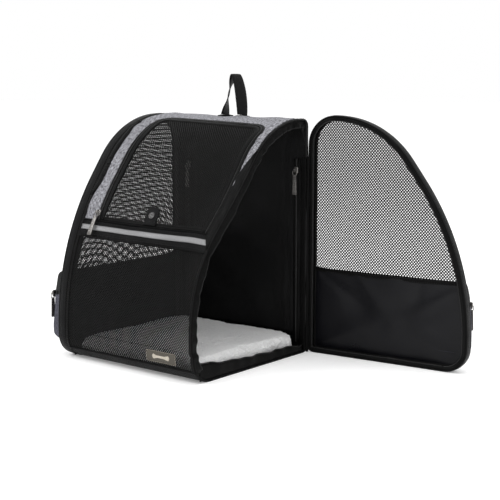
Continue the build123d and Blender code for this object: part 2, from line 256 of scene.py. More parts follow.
def swept(path, section, across, out):
    """A closed section set across a path at each of its points. The section may change along it."""
    across, out = (np.asarray(v, float) for v in (across, out))
    across, out = (v if v.ndim == 1 else v[:, None] for v in (across, out))
    return path[:, None] + section[..., :1] * across + section[..., 1:] * out


def circle(radius, count=8):
    """A round section."""
    angle = np.arange(count) * tau / count
    return radius * np.stack((np.cos(angle), np.sin(angle)), 1)


def through(corners, count):
    """A path of straight runs from corner to corner, with a number of points on each run."""
    corners = np.asarray(corners, float)
    share = np.linspace(0, 1, count)[:, None]
    return np.vstack([start + (end - start) * share for start, end in zip(corners[:-1], corners[1:])])


def smoothed(values, reach):
    """Values averaged with their neighbours within reach on either side."""
    count = 2 * reach + 1
    return np.convolve(np.pad(values, reach, "edge"), np.ones(count) / count, "valid")


# Materials


def node(tree, kind, inputs=None, **settings):
    """Adds a shader node. An input is a constant, or an output socket of another node."""
    made = tree.nodes.new(kind)
    for key, value in settings.items():
        setattr(made, key, value)
    for key, value in (inputs or {}).items():
        if isinstance(value, bpy.types.NodeSocket):
            tree.links.new(value, made.inputs[key])
        else:
            made.inputs[key].default_value = value
    return made


def maths(tree, operation, a, b=0.0):
    return node(tree, "ShaderNodeMath", {0: a, 1: b}, operation=operation).outputs[0]


def mixed(tree, share, first, second):
    return node(tree, "ShaderNodeMix", {0: share, 6: first, 7: second}, data_type="RGBA").outputs[2]


def cloth_coords(tree, scale, sewn=True):
    """Cloth coordinates in metres, scaled: along the cloth where the piece has them, or in space."""
    source = node(tree, "ShaderNodeTexCoord").outputs["UV" if sewn else "Object"]
    return node(tree, "ShaderNodeMapping", {"Vector": source, "Scale": scale}).outputs[0]


def weave_height(tree, pitch, kind, sewn):
    """The height of a weave: plain, twill or rib threads at a pitch in metres."""

    def ridges(value):
        return maths(tree, "ABSOLUTE", maths(tree, "SINE", maths(tree, "MULTIPLY", value, pi)))

    coords = cloth_coords(tree, (1 / pitch, 1 / pitch, 1 / pitch), sewn)
    across, along, _ = node(tree, "ShaderNodeSeparateXYZ", {0: coords}).outputs
    if kind == "rib":
        return ridges(across)
    if kind == "twill":
        return ridges(maths(tree, "ADD", across, along))
    checks = node(tree, "ShaderNodeTexChecker", {"Vector": coords, "Scale": 1.0}).outputs[1]
    over = maths(tree, "MULTIPLY", ridges(across), checks)
    under = maths(tree, "MULTIPLY", ridges(along), maths(tree, "SUBTRACT", 1.0, checks))
    return maths(tree, "ADD", over, under)


def material(name, shades, rough, weave=None, sewn=True, streak=None, bump=0.4, grain=900, flecked=0.5,
             relief=0.0004, **shader):
    """A procedural finish. Shades are its dark and light colours, rough its range of roughness,
    weave a thread kind and pitch, streak the stretch of its colour flecks, flecked their share of the
    colour, and relief the height of its bumps."""
    made = bpy.data.materials.new(name)
    made.use_nodes = True
    tree = made.node_tree
    surface = tree.nodes["Principled BSDF"]
    stretch = [grain * share for share in (streak or (1, 1, 1))]
    flecks = node(tree, "ShaderNodeTexNoise", {
        "Vector": cloth_coords(tree, stretch, sewn), "Scale": 1.0, "Detail": 3.0, "Roughness": 0.7,
    }).outputs[0]
    patches = node(tree, "ShaderNodeTexNoise", {
        "Vector": cloth_coords(tree, (22, 22, 22), False), "Scale": 1.0, "Detail": 4.0,
    }).outputs[0]
    spread = node(tree, "ShaderNodeMapRange", {0: flecks, 1: 0.36, 2: 0.64}).outputs[0]
    height_field = spread
    tone = spread
    if weave:
        height_field = weave_height(tree, weave[1], weave[0], sewn)
        tone = maths(tree, "ADD", maths(tree, "MULTIPLY", height_field, 1 - flecked),
                     maths(tree, "MULTIPLY", spread, flecked))
    colour = mixed(tree, tone, (*shades[0], 1), (*shades[1], 1))
    shade = mixed(tree, maths(tree, "MULTIPLY", patches, 0.35), colour, (*shades[0], 1))
    tree.links.new(shade, surface.inputs["Base Color"])
    roughness = node(tree, "ShaderNodeMapRange", {0: patches, 1: 0.3, 2: 0.7, 3: rough[0], 4: rough[1]})
    tree.links.new(roughness.outputs[0], surface.inputs["Roughness"])
    bumps = node(tree, "ShaderNodeBump", {"Strength": bump, "Distance": relief, "Height": height_field})
    tree.links.new(bumps.outputs[0], surface.inputs["Normal"])
    for socket, value in shader.items():
        surface.inputs[socket.replace("_", " ").title().replace("Ior", "IOR")].default_value = value
    return made


def grey(level, tint=1.0):
    return (level, level, level * tint)


FINISHES = {
    "black_nylon": dict(shades=(grey(0.0015), grey(0.0055, 1.1)), rough=(0.4, 0.55),
                        weave=("plain", 0.0006), specular_ior_level=0.08),
    "door_nylon": dict(shades=(grey(0.0015, 1.3), grey(0.004, 1.5)), rough=(0.27, 0.36),
                       weave=("plain", 0.0005), sewn=False, bump=0.15, specular_ior_level=0.17),
    "lining": dict(shades=(grey(0.001), grey(0.004, 1.1)), rough=(0.4, 0.5), weave=("twill", 0.0008),
                   specular_ior_level=0.18),
    "heather_cloth": dict(shades=(grey(0.03, 1.12), grey(0.40, 1.08)), rough=(0.75, 0.9),
                          weave=("plain", 0.0009), streak=(1.5, 0.7, 1), grain=260, flecked=0.95,
                          specular_ior_level=0.2),
    # The pouch's heather cloth, made darker than heather_cloth: the darker tone is painted shade.
    "pocket_heather_painted_shade": dict(shades=(grey(0.012, 1.2), grey(0.10, 1.3)), rough=(0.6, 0.8),
                         weave=("plain", 0.0009), streak=(1.5, 0.7, 1), grain=300, flecked=0.8,
                         specular_ior_level=0.1),
    "net": dict(shades=(grey(0.001), grey(0.005)), rough=(0.45, 0.6), sewn=False, specular_ior_level=0.12),
    "zip_tape": dict(shades=(grey(0.0006), grey(0.004)), rough=(0.35, 0.5), weave=("rib", 0.0012),
                     specular_ior_level=0.09),
    "zip_teeth": dict(shades=(grey(0.002), grey(0.007)), rough=(0.25, 0.35), sewn=False,
                      specular_ior_level=0.25),
    "binding": dict(shades=(grey(0.0006), grey(0.003)), rough=(0.38, 0.5), weave=("rib", 0.0009),
                    specular_ior_level=0.07),
    "thread": dict(shades=(grey(0.003), grey(0.012)), rough=(0.5, 0.7), sewn=False, specular_ior_level=0.2),
    "reflective_tape": dict(shades=(grey(0.10), grey(0.26, 1.03)), rough=(0.3, 0.42),
                            weave=("twill", 0.0011), metallic=0.35),
    "label": dict(shades=((0.045, 0.040, 0.032), (0.10, 0.09, 0.075)), rough=(0.5, 0.65),
                  weave=("plain", 0.0005), specular_ior_level=0.2),
    "label_motif": dict(shades=((0.30, 0.27, 0.22), (0.55, 0.50, 0.42)), rough=(0.5, 0.65), sewn=False),
    "board": dict(shades=(grey(0.005), grey(0.015)), rough=(0.5, 0.7), sewn=False),
    "fleece": dict(shades=(grey(0.92), grey(1.0)), rough=(0.85, 0.95), sewn=False, bump=1.0, grain=300,
                   relief=0.003, sheen_weight=0.6),
    "gunmetal": dict(shades=((0.10, 0.095, 0.09), (0.26, 0.25, 0.24)), rough=(0.22, 0.4), sewn=False,
                     bump=0.08, streak=(0.2, 1, 1), metallic=0.9),
    "webbing": dict(shades=(grey(0.002), grey(0.008)), rough=(0.45, 0.6), weave=("twill", 0.0016),
                    specular_ior_level=0.08),
    "air_mesh": dict(shades=(grey(0.003), grey(0.02)), rough=(0.6, 0.8), weave=("plain", 0.0022), bump=1.0,
                     specular_ior_level=0.08),
    "buckle_plastic": dict(shades=(grey(0.006), grey(0.012)), rough=(0.3, 0.42), sewn=False, bump=0.15),
    "spring_steel": dict(shades=(grey(0.005), grey(0.012)), rough=(0.35, 0.5), sewn=False),
    "snap_metal": dict(shades=(grey(0.06), grey(0.14)), rough=(0.2, 0.32), sewn=False, metallic=0.95),
}
looks = {name: material(name, **finish) for name, finish in FINISHES.items()}


# Meshes


def new_piece(name, vertices, faces, look, uvs=None):
    """A smooth shaded mesh object. Uvs are cloth coordinates for every corner of every face."""
    mesh = bpy.data.meshes.new(name)
    mesh.from_pydata(np.asarray(vertices, float).tolist(), [], [list(face) for face in faces])
    if uvs is not None:
        mesh.uv_layers.new(name="cloth").data.foreach_set("uv", np.asarray(uvs, np.float32).ravel())
    shape = bmesh.new()
    shape.from_mesh(mesh)
    bmesh.ops.recalc_face_normals(shape, faces=shape.faces)
    shape.to_mesh(mesh)
    shape.free()
    mesh.polygons.foreach_set("use_smooth", [True] * len(mesh.polygons))
    mesh.materials.append(looks[look])
    made = bpy.data.objects.new(name, mesh)
    bpy.context.scene.collection.objects.link(made)
    return made


def sharpen(piece, degrees=40):
    """Keeps the edges between faces crisp where they meet at more than an angle."""
    piece.data.set_sharp_from_angle(angle=radians(degrees))
    return piece


def tube_mesh(points, closed=False):
    """Vertices, faces and cloth coordinates of rings of points joined one to the next."""
    rows, ring = points.shape[:2]
    i, j = np.meshgrid(np.arange(rows if closed else rows - 1), np.arange(ring), indexing="ij")
    corner_i = np.stack((i, i + 1, i + 1, i), -1).reshape(-1, 4)
    corner_j = np.stack((j, j, j + 1, j + 1), -1).reshape(-1, 4)
    faces = (corner_i % rows * ring + corner_j % ring).tolist()
    along = np.linalg.norm(np.roll(points, -1, 0) - points, axis=2).mean(1)
    around = np.linalg.norm(np.roll(points, -1, 1) - points, axis=2).mean(0)
    along = np.append(0, np.cumsum(along))
    around = np.append(0, np.cumsum(around))
    uvs = np.stack((around[corner_j], along[corner_i]), -1).reshape(-1, 2).tolist()
    if not closed:
        for start in (0, (rows - 1) * ring):
            for k in range(ring // 2 - 1):
                faces.append([start + k, start + k + 1, start + ring - 2 - k, start + ring - 1 - k])
                uvs += [(around[k], 0), (around[k + 1], 0), (around[k + 1], cloth), (around[k], cloth)]
    return points.reshape(-1, 3), faces, uvs


def tube(name, points, look, closed=False):
    vertices, faces, uvs = tube_mesh(points, closed)
    return new_piece(name, vertices, faces, look, uvs)


def slab(name, points, normals, thickness, look, closed=False):
    """A sheet of cloth through a grid of points, with the given thickness behind it."""
    behind = points - normals * thickness
    return tube(name, np.concatenate((points, behind[:, ::-1]), 1), look, closed)


def merged(name, pieces):
    """Joins pieces that have the same look into one."""
    with bpy.context.temp_override(active_object=pieces[0], selected_editable_objects=pieces):
        bpy.ops.object.join()
    pieces[0].name = name
    return pieces[0]


def settle(piece, on, slot, *stands_for):
    """Puts a piece on a body and hides the CAD nodes it stands for. The slot is not used."""
    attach(piece, on)
    if stands_for:
        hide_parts(*stands_for)
    return piece


def declare_sheet(piece, width=None):
    """Works out a sheet's size by its own cloth: half its closed surface, as wide as it is or as is given.
    Nothing is kept or returned.
    """
    surface = sum(face.area for face in piece.data.polygons) / 2
    points = np.array([v.co for v in piece.data.vertices])
    size = sorted(points.max(0) - points.min(0))
    width = width or size[1]
    length = surface / width if surface / width > size[2] else size[2]
    if surface < 0.3 * width * length:
        length = surface / width


def body_grid(xs, low, high, rows, lift=0.0, shape=None):
    """A grid on the body's cloth between the edges low and high, which give u at each x.
    Shape gives an extra lift from the distances along x and up the cloth, and from each edge."""
    u = np.stack([even_u(x, low(x), high(x), rows) for x in xs], 1)
    points, normals = body(np.broadcast_to(xs, u.shape), u, lift)
    if shape:
        length = np.linalg.norm(np.diff(points, axis=0), axis=2)
        up = np.vstack((np.zeros(len(xs)), np.cumsum(length, 0)))
        points = points + normals * shape(points[..., 0], up, up[-1] - up)[..., None]
    return points, normals


def body_strip(u, section):
    """A strip that runs along u. Section is a closed loop of x and lift."""
    x, lift = (np.array(v)[None, :] for v in zip(*section))
    return body(x, np.asarray(u)[:, None], lift)[0]


def rounded_loop(half_across, half_up, bulge=0.0, centre=(0, 0)):
    """A closed section: a rectangle with round ends and a slightly domed top and bottom."""
    across = np.linspace(-1, 1, 7)
    dome = half_up * (1 - 0.35 * across**4) + bulge * (1 - across**2)
    top = np.stack((half_across * across, dome), 1)
    low = np.stack((half_across * across[::-1], -half_up * (1 - 0.35 * across[::-1] ** 4)), 1)
    return np.vstack((top, low)) + centre


def stitches(name, path, normals, look="thread", length=0.0024, gap=0.0016, width=0.0007, lift=0.0002):
    """A row of sewn stitches along a path that lies on cloth."""
    run = walked(path)
    starts = np.arange(gap, run[-1] - length, length + gap)
    nearby = sampled(normals, run, starts)
    beside = unit(np.cross(sampled(path, run, starts + length) - sampled(path, run, starts), nearby))
    blocks = []
    for share, side, rise in ((0, -1, 0), (0.5, -1, 1), (1, -1, 0), (1, 1, 0), (0.5, 1, 1), (0, 1, 0)):
        here = sampled(path, run, starts + share * length)
        blocks.append(here + beside * side * width / 2 + nearby * (lift + rise * width * 0.8))
    vertices = np.stack(blocks, 1).reshape(-1, 3)
    pattern = [(0, 1, 4, 5), (1, 2, 3, 4), (0, 5, 3, 2), (0, 2, 1), (3, 5, 4)]
    faces = [[6 * n + k for k in face] for n in range(len(starts)) for face in pattern]
    return new_piece(name, vertices, faces, look)


FRONT_PITCH = np.array((0.0044, 0.0026))
DOOR_PITCH = np.array((0.0052, 0.0028))
NET_HOLE = 0.49
NET_THICK = 0.0008
HEX = np.array([(0, 1), (1, 1 / 6), (1, -1 / 6), (0, -1), (-1, -1 / 6), (-1, 1 / 6)]) * (1 / 2, 6 / 7)


def netting(name, low, high, keep, place, pitch=FRONT_PITCH):
    """Open netting. Low and high are the corners of its flat lattice, keep says which cells are in
    the cloth, and place turns flat coordinates and a lift into points."""
    rows = np.arange(int(low[1] / pitch[1]), int(high[1] / pitch[1]) + 1)
    columns = np.arange(int(low[0] / pitch[0]) - 1, int(high[0] / pitch[0]) + 2)
    row, column = np.meshgrid(rows, columns, indexing="ij")
    centres = np.stack((column + row % 2 / 2, row), -1).reshape(-1, 2) * pitch
    centres = centres[keep(centres[:, 0], centres[:, 1])]
    rims = (centres[:, None, :] + HEX * pitch).reshape(-1, 2)
    shared, index = np.unique(np.round(rims, 6), axis=0, return_inverse=True)
    index = index.reshape(-1, 6)
    holes = (centres[:, None, :] + HEX * pitch * NET_HOLE).reshape(-1, 2)
    flat = np.vstack((shared, shared, holes))
    lift = np.concatenate((np.full(len(shared), NET_THICK / 2), np.full(len(shared), -NET_THICK / 2),
                           np.zeros(len(holes))))
    hole = 2 * len(shared) + np.arange(len(holes)).reshape(-1, 6)
    following = np.roll(index, -1, 1)
    inner = np.roll(hole, -1, 1)
    front = np.stack((index, following, inner, hole), -1).reshape(-1, 4)
    back = np.stack((following + len(shared), index + len(shared), hole, inner), -1).reshape(-1, 4)
    return new_piece(name, place(flat[:, 0], flat[:, 1], lift), np.vstack((front, back)).tolist(), "net")


def body_place(start):
    """Puts flat coordinates, x and the distance up the cloth from a height, on the body."""

    def place(a, b, lift):
        out = np.empty((len(a), 3))
        for x in np.unique(np.round(a, 6)):
            here = np.abs(a - x) < 2e-6
            walk = np.linspace(float(u_at(x, start)), CORNER, 300)
            u = np.interp(b[here], walked(body(x, walk)[0]), walk)
            out[here] = body(x, u, lift[here])[0]
        return out

    return place


def level(z):
    """A level edge of the cloth, as u at each x."""
    return lambda x: float(u_at(x, z))


def seam(z):
    """A cross seam at a height on the firm side, as u at each x."""
    return lambda x: float(u_at(x, z - (x + half_width) * sin(seam_tilt)))


def seam_rise(points):
    """The height of points over the base, measured along the tilt of the cross seams."""
    return points[..., 2] + (points[..., 0] + half_width) * sin(seam_tilt)


def corner_drop(x, inset):
    """How far the window's rounded corner lies under its straight top, at one x."""
    over = max(abs(x - window_middle) - (window_half - window_corner), 0)
    radius = window_corner - inset
    return max(radius**2 - over**2, 0) ** 0.5 - radius


# The body's cloth


def build_walls():
    inner = half_width - binding_width
    middle = np.linspace(-inner - 0.001, inner + 0.001, 57)

    def low_net_keep(a, b):
        points = body_place(base_edge)(a, b, 0 * a)
        return (np.abs(a) < inner + 0.001) & (seam_rise(points) < band_low + 0.001) & (b > -0.0005)

    net = netting("lower_front_net_cloth", (-inner, 0), (inner, 0.26), low_net_keep, body_place(base_edge))
    settle(net, "bag", "net", "lower_front_net")
    declare_sheet(net)

    def puckers(x, up, down):
        sewn = bell(up, 0.008) + bell(down, 0.008)
        ripple = 0.0004 * np.sin(x * tau / 0.011 + 2 * soft_noise(x, 0 * x, 0.05, 3))
        return 0.0010 * (1 - sewn) + sewn * ripple + 0.0010 * soft_noise(x, up, 0.07, 5)

    points, normals = body_grid(middle, seam(band_low), seam(band_high), 19, shape=puckers)
    band = settle(slab("front_band_cloth", points, normals, cloth * 0.8, "black_nylon"),
                  "bag", "black_nylon", "front_band")
    declare_sheet(band)
    for label, edge, sign in (("low", band_low, 1), ("high", band_high, -1)):
        points, _ = body_grid(middle, seam(edge - 0.0012), seam(edge + 0.0012), 2)
        path = points.mean(0)
        hem = rounded_loop(0.0012, 0.0021)
        welt = swept(path, hem, (0, 0, 1), (0, -1, 0.3))
        settle(tube(f"band_welt_{label}", welt, "binding"), "bag", "binding")
        line, up = body_grid(middle, seam(edge + sign * 0.004), seam(edge + sign * 0.0041), 2, 0.0014)
        settle(stitches(f"band_stitches_{label}", line[0], up[0]), "bag", "black_nylon")

    def stripe_shape(x, up, down):
        return 0.0010 * soft_noise(x, up + 0.016, 0.07, 5)

    points, normals = body_grid(middle, seam(stripe_low), seam(stripe_high), 5, 0.0021, stripe_shape)
    settle(slab("reflective_tape_strip", points, normals, 0.0009, "reflective_tape"),
           "bag", "reflective_tape", "reflective_strip")

    # Base tray, whose cloth turns up all round, with a welt along its front edge
    xs = np.linspace(-half_width + 0.0005, half_width - 0.0005, 41)
    low_edge = np.array([float(u_at(x, base_edge)) for x in xs])
    around = np.linspace(0, 1, 90)
    rows = []
    for x, front in zip(xs, low_edge):
        rows.append(np.interp(around, (0, 0.16, 0.9, 1), (front + END, END, HEEL, BACK + 0.96)))
    u = np.stack(rows, 1) % END
    points, normals = body(np.broadcast_to(xs, u.shape), u)
    tray = slab("base_tray", points, normals, cloth, "black_nylon")
    settle(tray, "bag", "black_nylon", "base_panel")
    declare_sheet(tray)
    points, normals = body_grid(xs, level(base_edge - 0.0012), level(base_edge + 0.0012), 2)
    path = points.mean(0)
    hem = rounded_loop(0.0016, 0.0022)
    settle(tube("base_welt", swept(path, hem, (0, 0, 1), (0, -1, 0)), "binding"), "bag", "binding")

    # Back wall: black outside, and an inner lining that hangs in soft upright folds near the doors
    xs = np.linspace(-half_width, half_width, 61)

    def back_cloth(x, up, down):
        return 0.0008 * soft_noise(x, up, 0.09, 11)

    points, normals = body_grid(xs, lambda x: CORNER, lambda x: BACK + 0.97, 60, shape=back_cloth)
    back = slab("back_wall", points, normals, 0.0018, "black_nylon")
    settle(back, "bag", "black_nylon", "back_panel")
    declare_sheet(back)

    def folds(x, up, down):
        beside = np.abs(x) / half_width
        upright = np.sin(x * tau / 0.016 + 1.5 * soft_noise(up, 0 * x, 0.12, 4))
        deep = bell(beside - 0.8, 0.18) * bell((up - 0.2) / 0.2, 1.2)
        return back_cloth(x, up, down) - 0.0011 * (1 + upright) * deep

    points, normals = body_grid(xs, lambda x: CORNER + 0.4, lambda x: BACK + 0.95, 60, -0.0019, folds)
    lining = settle(slab("back_lining", points, normals, 0.0008, "lining"), "bag", "black_nylon")
    declare_sheet(lining)


def build_heather():
    inner = half_width - binding_width

    def top_cloth(x, up, down):
        sewn = bell(up, 0.006) + bell(down, 0.006)
        return 0.0012 * (1 - sewn) + 0.0011 * soft_noise(x, up, 0.08, 8)

    flat = window_half - window_corner

    def front_edge(x):
        if abs(x - window_middle) < window_half - 0.0005:
            return float(u_at(x, window_top + corner_drop(x, 0), up_slope))
        return float(u_at(x, strip_end, lambda p: p[..., 1]))

    knots = (-inner - 0.001, window_left, window_middle - flat, window_middle + flat, window_right,
             inner + 0.001)
    steps = zip(knots[:-1], knots[1:], (8, 18, 33, 18, 8))
    xs = np.unique(np.concatenate([np.linspace(low, high, count) for low, high, count in steps]))
    points, normals = body_grid(xs, front_edge, lambda x: CORNER + 0.3, 40, shape=top_cloth)
    top = slab("top_cloth", points, normals, cloth, "heather_cloth")
    settle(top, "bag", "heather_cloth", "top_panel")
    declare_sheet(top)

    def strip_cloth(x, up, down):
        return 0.0008 + 0.0008 * soft_noise(x, up, 0.05, 9)

    for side, name in SIDES:
        xs = side * np.linspace(side * (window_left, window_right)[side > 0], inner + 0.001, 11)
        edge = lambda x: float(u_at(x, strip_end + 0.002, lambda p: p[..., 1]))
        points, normals = body_grid(np.sort(xs), seam(band_high), edge, 60, shape=strip_cloth)
        strip = slab(f"side_strip_cloth_{name}", points, normals, cloth, "heather_cloth")
        settle(strip, "bag", "heather_cloth", f"side_strip_{name}")
        declare_sheet(strip)


def build_rims():
    """The bound edge of each side opening, and the slack zip tape that hangs behind it."""
    for side, name in SIDES:
        bound_x = side * (half_width - binding_width / 2)
        front = float(u_at(bound_x, base_edge - 0.004))
        u = even_u(bound_x, front, CORNER + 0.35, 240)
        section = rounded_loop(binding_width / 2, 0.0021, bulge=0.0006, centre=(bound_x, -0.0012))
        binding = tube(f"rim_binding_cloth_{name}", body_strip(u, section), "binding")
        settle(binding, "bag", "binding", f"rim_binding_{name}")
        for k, across in enumerate((-0.32, 0.30)):
            line, up = body(bound_x + across * binding_width, u, 0.0016)
            settle(stitches(f"rim_stitches_{name}_{k}", line, up), "bag", "binding")
        tape_x = side * (half_width - 0.0018)
        front = float(u_at(tape_x, base_edge - 0.006))
        end = TOP + 0.9
        u = even_u(tape_x, front, end, 420)
        run = np.linspace(0, 1, len(u))
        wave = soft_noise(run, 0 * run, 0.10, 20 + side) + 0.6 * soft_noise(run, 0 * run, 0.035, 24 + side)
        depth = np.linspace(0, 1, 9)
        reach = tape_depth + cloth
        sag = 0.0012 if side > 0 else 0.0006
        x = tape_x + wave[:, None] * sag * depth[None, :] ** 1.4 * side
        points, normals = body(x, u[:, None], -cloth * 0.6 - depth[None, :] * (reach - cloth * 0.6))
        sideways = facing(points, 0, side)
        tape = slab(f"rim_tape_{name}", points, sideways, 0.0009, "zip_tape")
        settle(tape, "bag", "zip_tape", f"rim_zip_{name}")
        declare_sheet(tape, tape_depth)
        edge = points[:, -1]
        settle(zip_coil(f"rim_teeth_{name}", edge, sideways[:, -1], -normals[:, -1]), "bag", "zip_tape")


def build_folds():
    """Slack cloth beside the openings: the roll over the window's strip, the lips along the floor, and
    the folded hinge of each door with the flat band that covers it."""
    low = 2.86
    for side, name, high, cover in ((-1, "left", 4.60, 0.0100), (1, "right", 4.10, 0.0190)):
        u = np.linspace(low, high, 110)
        share = np.linspace(0, 1, 11)
        ends = np.clip((high - u) / 0.34, 0, 1) * np.clip((u - low) / 0.10, 0, 1)
        x = side * (half_width - 0.4 * binding_width - (0.0008 + cover * ends**0.7)[:, None] * share)
        roll = np.sin(pi * share) * (0.0024 + 0.0007 * soft_noise(u, 0 * u, 0.35, 26 + side))[:, None]
        crease = 0.0004 * soft_noise(u[:, None] * 0.06, share * 0.015, 0.012, 27 + side)
        points, normals = body(x, u[:, None], 0.0013 + roll + crease)
        settle(slab(f"rim_fold_{name}", points, normals, 0.0012, "binding"), "bag", "binding")

    for side, name in SIDES:
        run = np.linspace(0, 1, 90)
        y = -half_depth + 0.016 + run * (2 * half_depth - 0.030)
        rise = 0.013 + (0.016 * (1 - run) ** 2 if side > 0 else 0 * run)
        wave = soft_noise(run, 0 * run, 0.13, 28 + side)
        up = np.linspace(0, 1, 7)
        out = 0.0018 + (0.0012 * wave - 0.0010)[:, None] * up
        x = side * (half_width - out - 0.0035 * up**2 * (1 - run[:, None]) ** 2)
        z = 0.0036 + rise[:, None] * up + 0.0008 * wave[:, None] * up
        points = np.stack((x, y[:, None] + 0 * x, z), -1)
        normals = facing(points, 0, side)
        settle(slab(f"floor_lip_{name}", points, normals, 0.0010, "binding"), "bag", "zip_tape")
        edge = points[:, -1]
        settle(zip_coil(f"floor_teeth_{name}", edge, normals[:, -1], facing(edge, 2)), "bag", "zip_tape")

        front = float(u_at(side * half_width, base_edge))
        u = np.linspace(BACK + 0.955, END + front, 160) % END
        section = circle(1, 10) * (0.0022, 0.0024) + (side * (half_width - 0.0026), -0.0016)
        settle(tube(f"base_edge_{name}", body_strip(u, section), "binding"), "bag", "binding")
        top = 0.344  # where the fold and its band start to round off
        end = top + 0.006 * np.sin(np.linspace(0, pi / 2, 9)[1:])
        z = np.concatenate((np.linspace(0.001, top, 60), end))
        taper = np.sqrt(np.clip(1 - np.clip((z - top) / 0.0062, 0, 1) ** 2, 0.002, 1))
        wobble = 0.0004 * soft_noise(z, 0 * z, 0.05, 29 + side)
        path = np.stack((side * hinge.x + wobble, 0 * z + hinge.y - 0.0006, z), -1)
        column = swept(path, circle(0.0028, 10) * taper[:, None, None], (1, 0, 0), (0, 1, 0))
        settle(tube(f"hinge_fold_{name}", column, "binding"), "bag", "binding")
        path = np.stack((side * 0.1425 + wobble, 0 * z + half_depth - 0.0052, z), -1)
        half = np.stack((0.0052 * taper, 0.0009 + 0 * taper), -1)[:, None]
        band = swept(path, rounded_loop(1, 1) * half, (1, 0, 0), (0, 1, 0))
        settle(tube(f"hinge_band_{name}", band, "binding"), "bag", "binding")


def build_webs():
    """The cloth that closes each back top corner of the body, where the door's corner is rounder."""
    u = np.linspace(TOP + 0.35, BACK + 0.16, 60)
    share = np.linspace(0, 1, 9)
    for side, name in SIDES:
        low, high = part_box(f"corner_web_{name}")
        x = (low.x + high.x) / 2
        outer = body(x, u, -cloth)[0]
        turn = np.arctan2(outer[:, 1] - (half_depth - door_corner), outer[:, 2] - (height - door_corner))
        turn = np.clip(turn, 0, pi / 2)
        radius = door_corner - cloth - 0.001
        drop = (height - high.z - cloth) * np.cos(turn)
        inner = np.stack((0 * u + x, half_depth - door_corner + radius * np.sin(turn),
                          height - door_corner + radius * np.cos(turn) - drop), -1)
        points = outer[:, None] + (inner - outer)[:, None] * share[None, :, None]
        points[..., 0] += side * 0.0006 * np.sin(pi * share) * soft_noise(u, 0 * u, 0.4, 33 + side)[:, None]
        web = slab(f"corner_cloth_{name}", points, facing(points, 0, side), 0.0012, "lining")
        settle(web, "bag", "black_nylon", f"corner_web_{name}")


def zip_coil(name, path, out, beside, pitch=0.0013, radius=0.0012):
    """A row of zip teeth: a moulded coil that follows a path, with a groove between its turns."""
    run = walked(path)
    count = max(int(run[-1] / pitch) * 2, 4)
    where = np.linspace(0, run[-1], count)
    centre, out, beside = (sampled(rows, run, where) for rows in (path, out, beside))
    turns = np.where(np.arange(count) % 2 == 0, 1.0, 0.72)[:, None, None]
    return tube(name, swept(centre, circle(radius) * (0.8, 1) * turns, out, beside), "zip_teeth")


# The window and its flap


def window_ring(section, count=90):
    """Points round the window, from its lower left up, over and down. Section gives inset and lift."""
    grid = []
    for inset, lift in section:
        half = window_half - inset
        radius = max(window_corner - inset, 0.004)
        ends = (window_middle - half, window_middle + half)
        low_w, low_r = (float(up_slope(body(end, seam(band_high + 0.001)(end))[0])) for end in ends)
        turn = np.linspace(0, pi / 2, 12)[1:-1]
        top = window_top - inset
        side = count // 3
        level_x = half - radius
        low_top = top - radius
        x = np.concatenate((np.full(side, -half), -level_x - radius * np.cos(turn),
                            np.linspace(-level_x, level_x, side), level_x + radius * np.sin(turn),
                            np.full(side, half)))
        w = np.concatenate((np.linspace(low_w, low_top, side), low_top + radius * np.sin(turn),
                            np.full(side, top), low_top + radius * np.cos(turn),
                            np.linspace(low_top, low_r, side)))
        x = x + window_middle
        grid.append(body(x, u_at(x, w, up_slope), lift))
    return np.stack([points for points, _ in grid], 1), np.stack([normals for _, normals in grid], 1)


def build_window():
    tape = [(0.0, 0.0008), (0.002, 0.0012), (zip_width, 0.0006), (zip_width, -0.0006), (0.002, -0.002),
            (0.0, -0.002)]
    points, _ = window_ring(tape)
    settle(tube("window_zip_tape", points, "zip_tape"), "bag", "zip_tape", "window_zip")
    points, normals = window_ring([(zip_width - 0.0016, 0.0011)], 120)
    across = unit(np.cross(np.gradient(points[:, 0], axis=0), normals[:, 0]))
    settle(zip_coil("window_teeth", points[:, 0], normals[:, 0], across), "bag", "zip_tape")
    points, normals = window_ring([(0.0018, 0.0013)], 120)
    settle(stitches("window_stitches", points[:, 0], normals[:, 0]), "bag", "zip_tape")

    lip = flap_edge + 0.0012
    crown = (flap_edge + net_edge) / 2
    frame_section = [(flap_edge, 0.0004), (lip, 0.0016), (crown, 0.0019), (net_edge, 0.0010),
                     (net_edge, -0.0012), (crown, -0.0014), (lip, -0.0014), (flap_edge, -0.001)]
    points, _ = window_ring(frame_section)
    border = tube("flap_border", points, "binding")
    settle(border, "window_flap", "binding", "window_frame")
    points, normals = window_ring([(net_edge - 0.0022, 0.0014)], 120)
    settle(stitches("flap_stitches", points[:, 0], normals[:, 0]), "window_flap", "binding")
    edge = window_half - flap_edge
    xs = window_middle + np.linspace(-edge, edge, 45)

    def hem_shape(x, up, down):
        return 0.0009 + 0.0004 * soft_noise(x, up, 0.03, 14)

    points, normals = body_grid(xs, seam(flap_low), seam(flap_low + 0.0065), 5, shape=hem_shape)
    settle(slab("flap_hem", points, normals, 0.0022, "binding"), "window_flap", "binding")
    line, up = body_grid(xs, seam(flap_low + 0.0047), seam(flap_low + 0.0048), 2, 0.0014)
    settle(stitches("hem_stitches", line[0], up[0]), "window_flap", "binding")

    inside = window_half - net_edge + 0.0012
    place = body_place(band_high - 0.012)

    def keep(a, b):
        points = place(a, b, 0 * a)
        top = np.array([window_top - net_edge + 0.0012 + corner_drop(x, net_edge) for x in a])
        between = np.abs(a - window_middle) < inside
        return between & (seam_rise(points) > flap_low + 0.005) & (up_slope(points) < top)

    net = netting("flap_net", (window_left, 0), (window_right, 0.25), keep, place)
    settle(net, "window_flap", "net", "window_net")
    declare_sheet(net)


# Doors, drawn shut on the +X side and then put in place


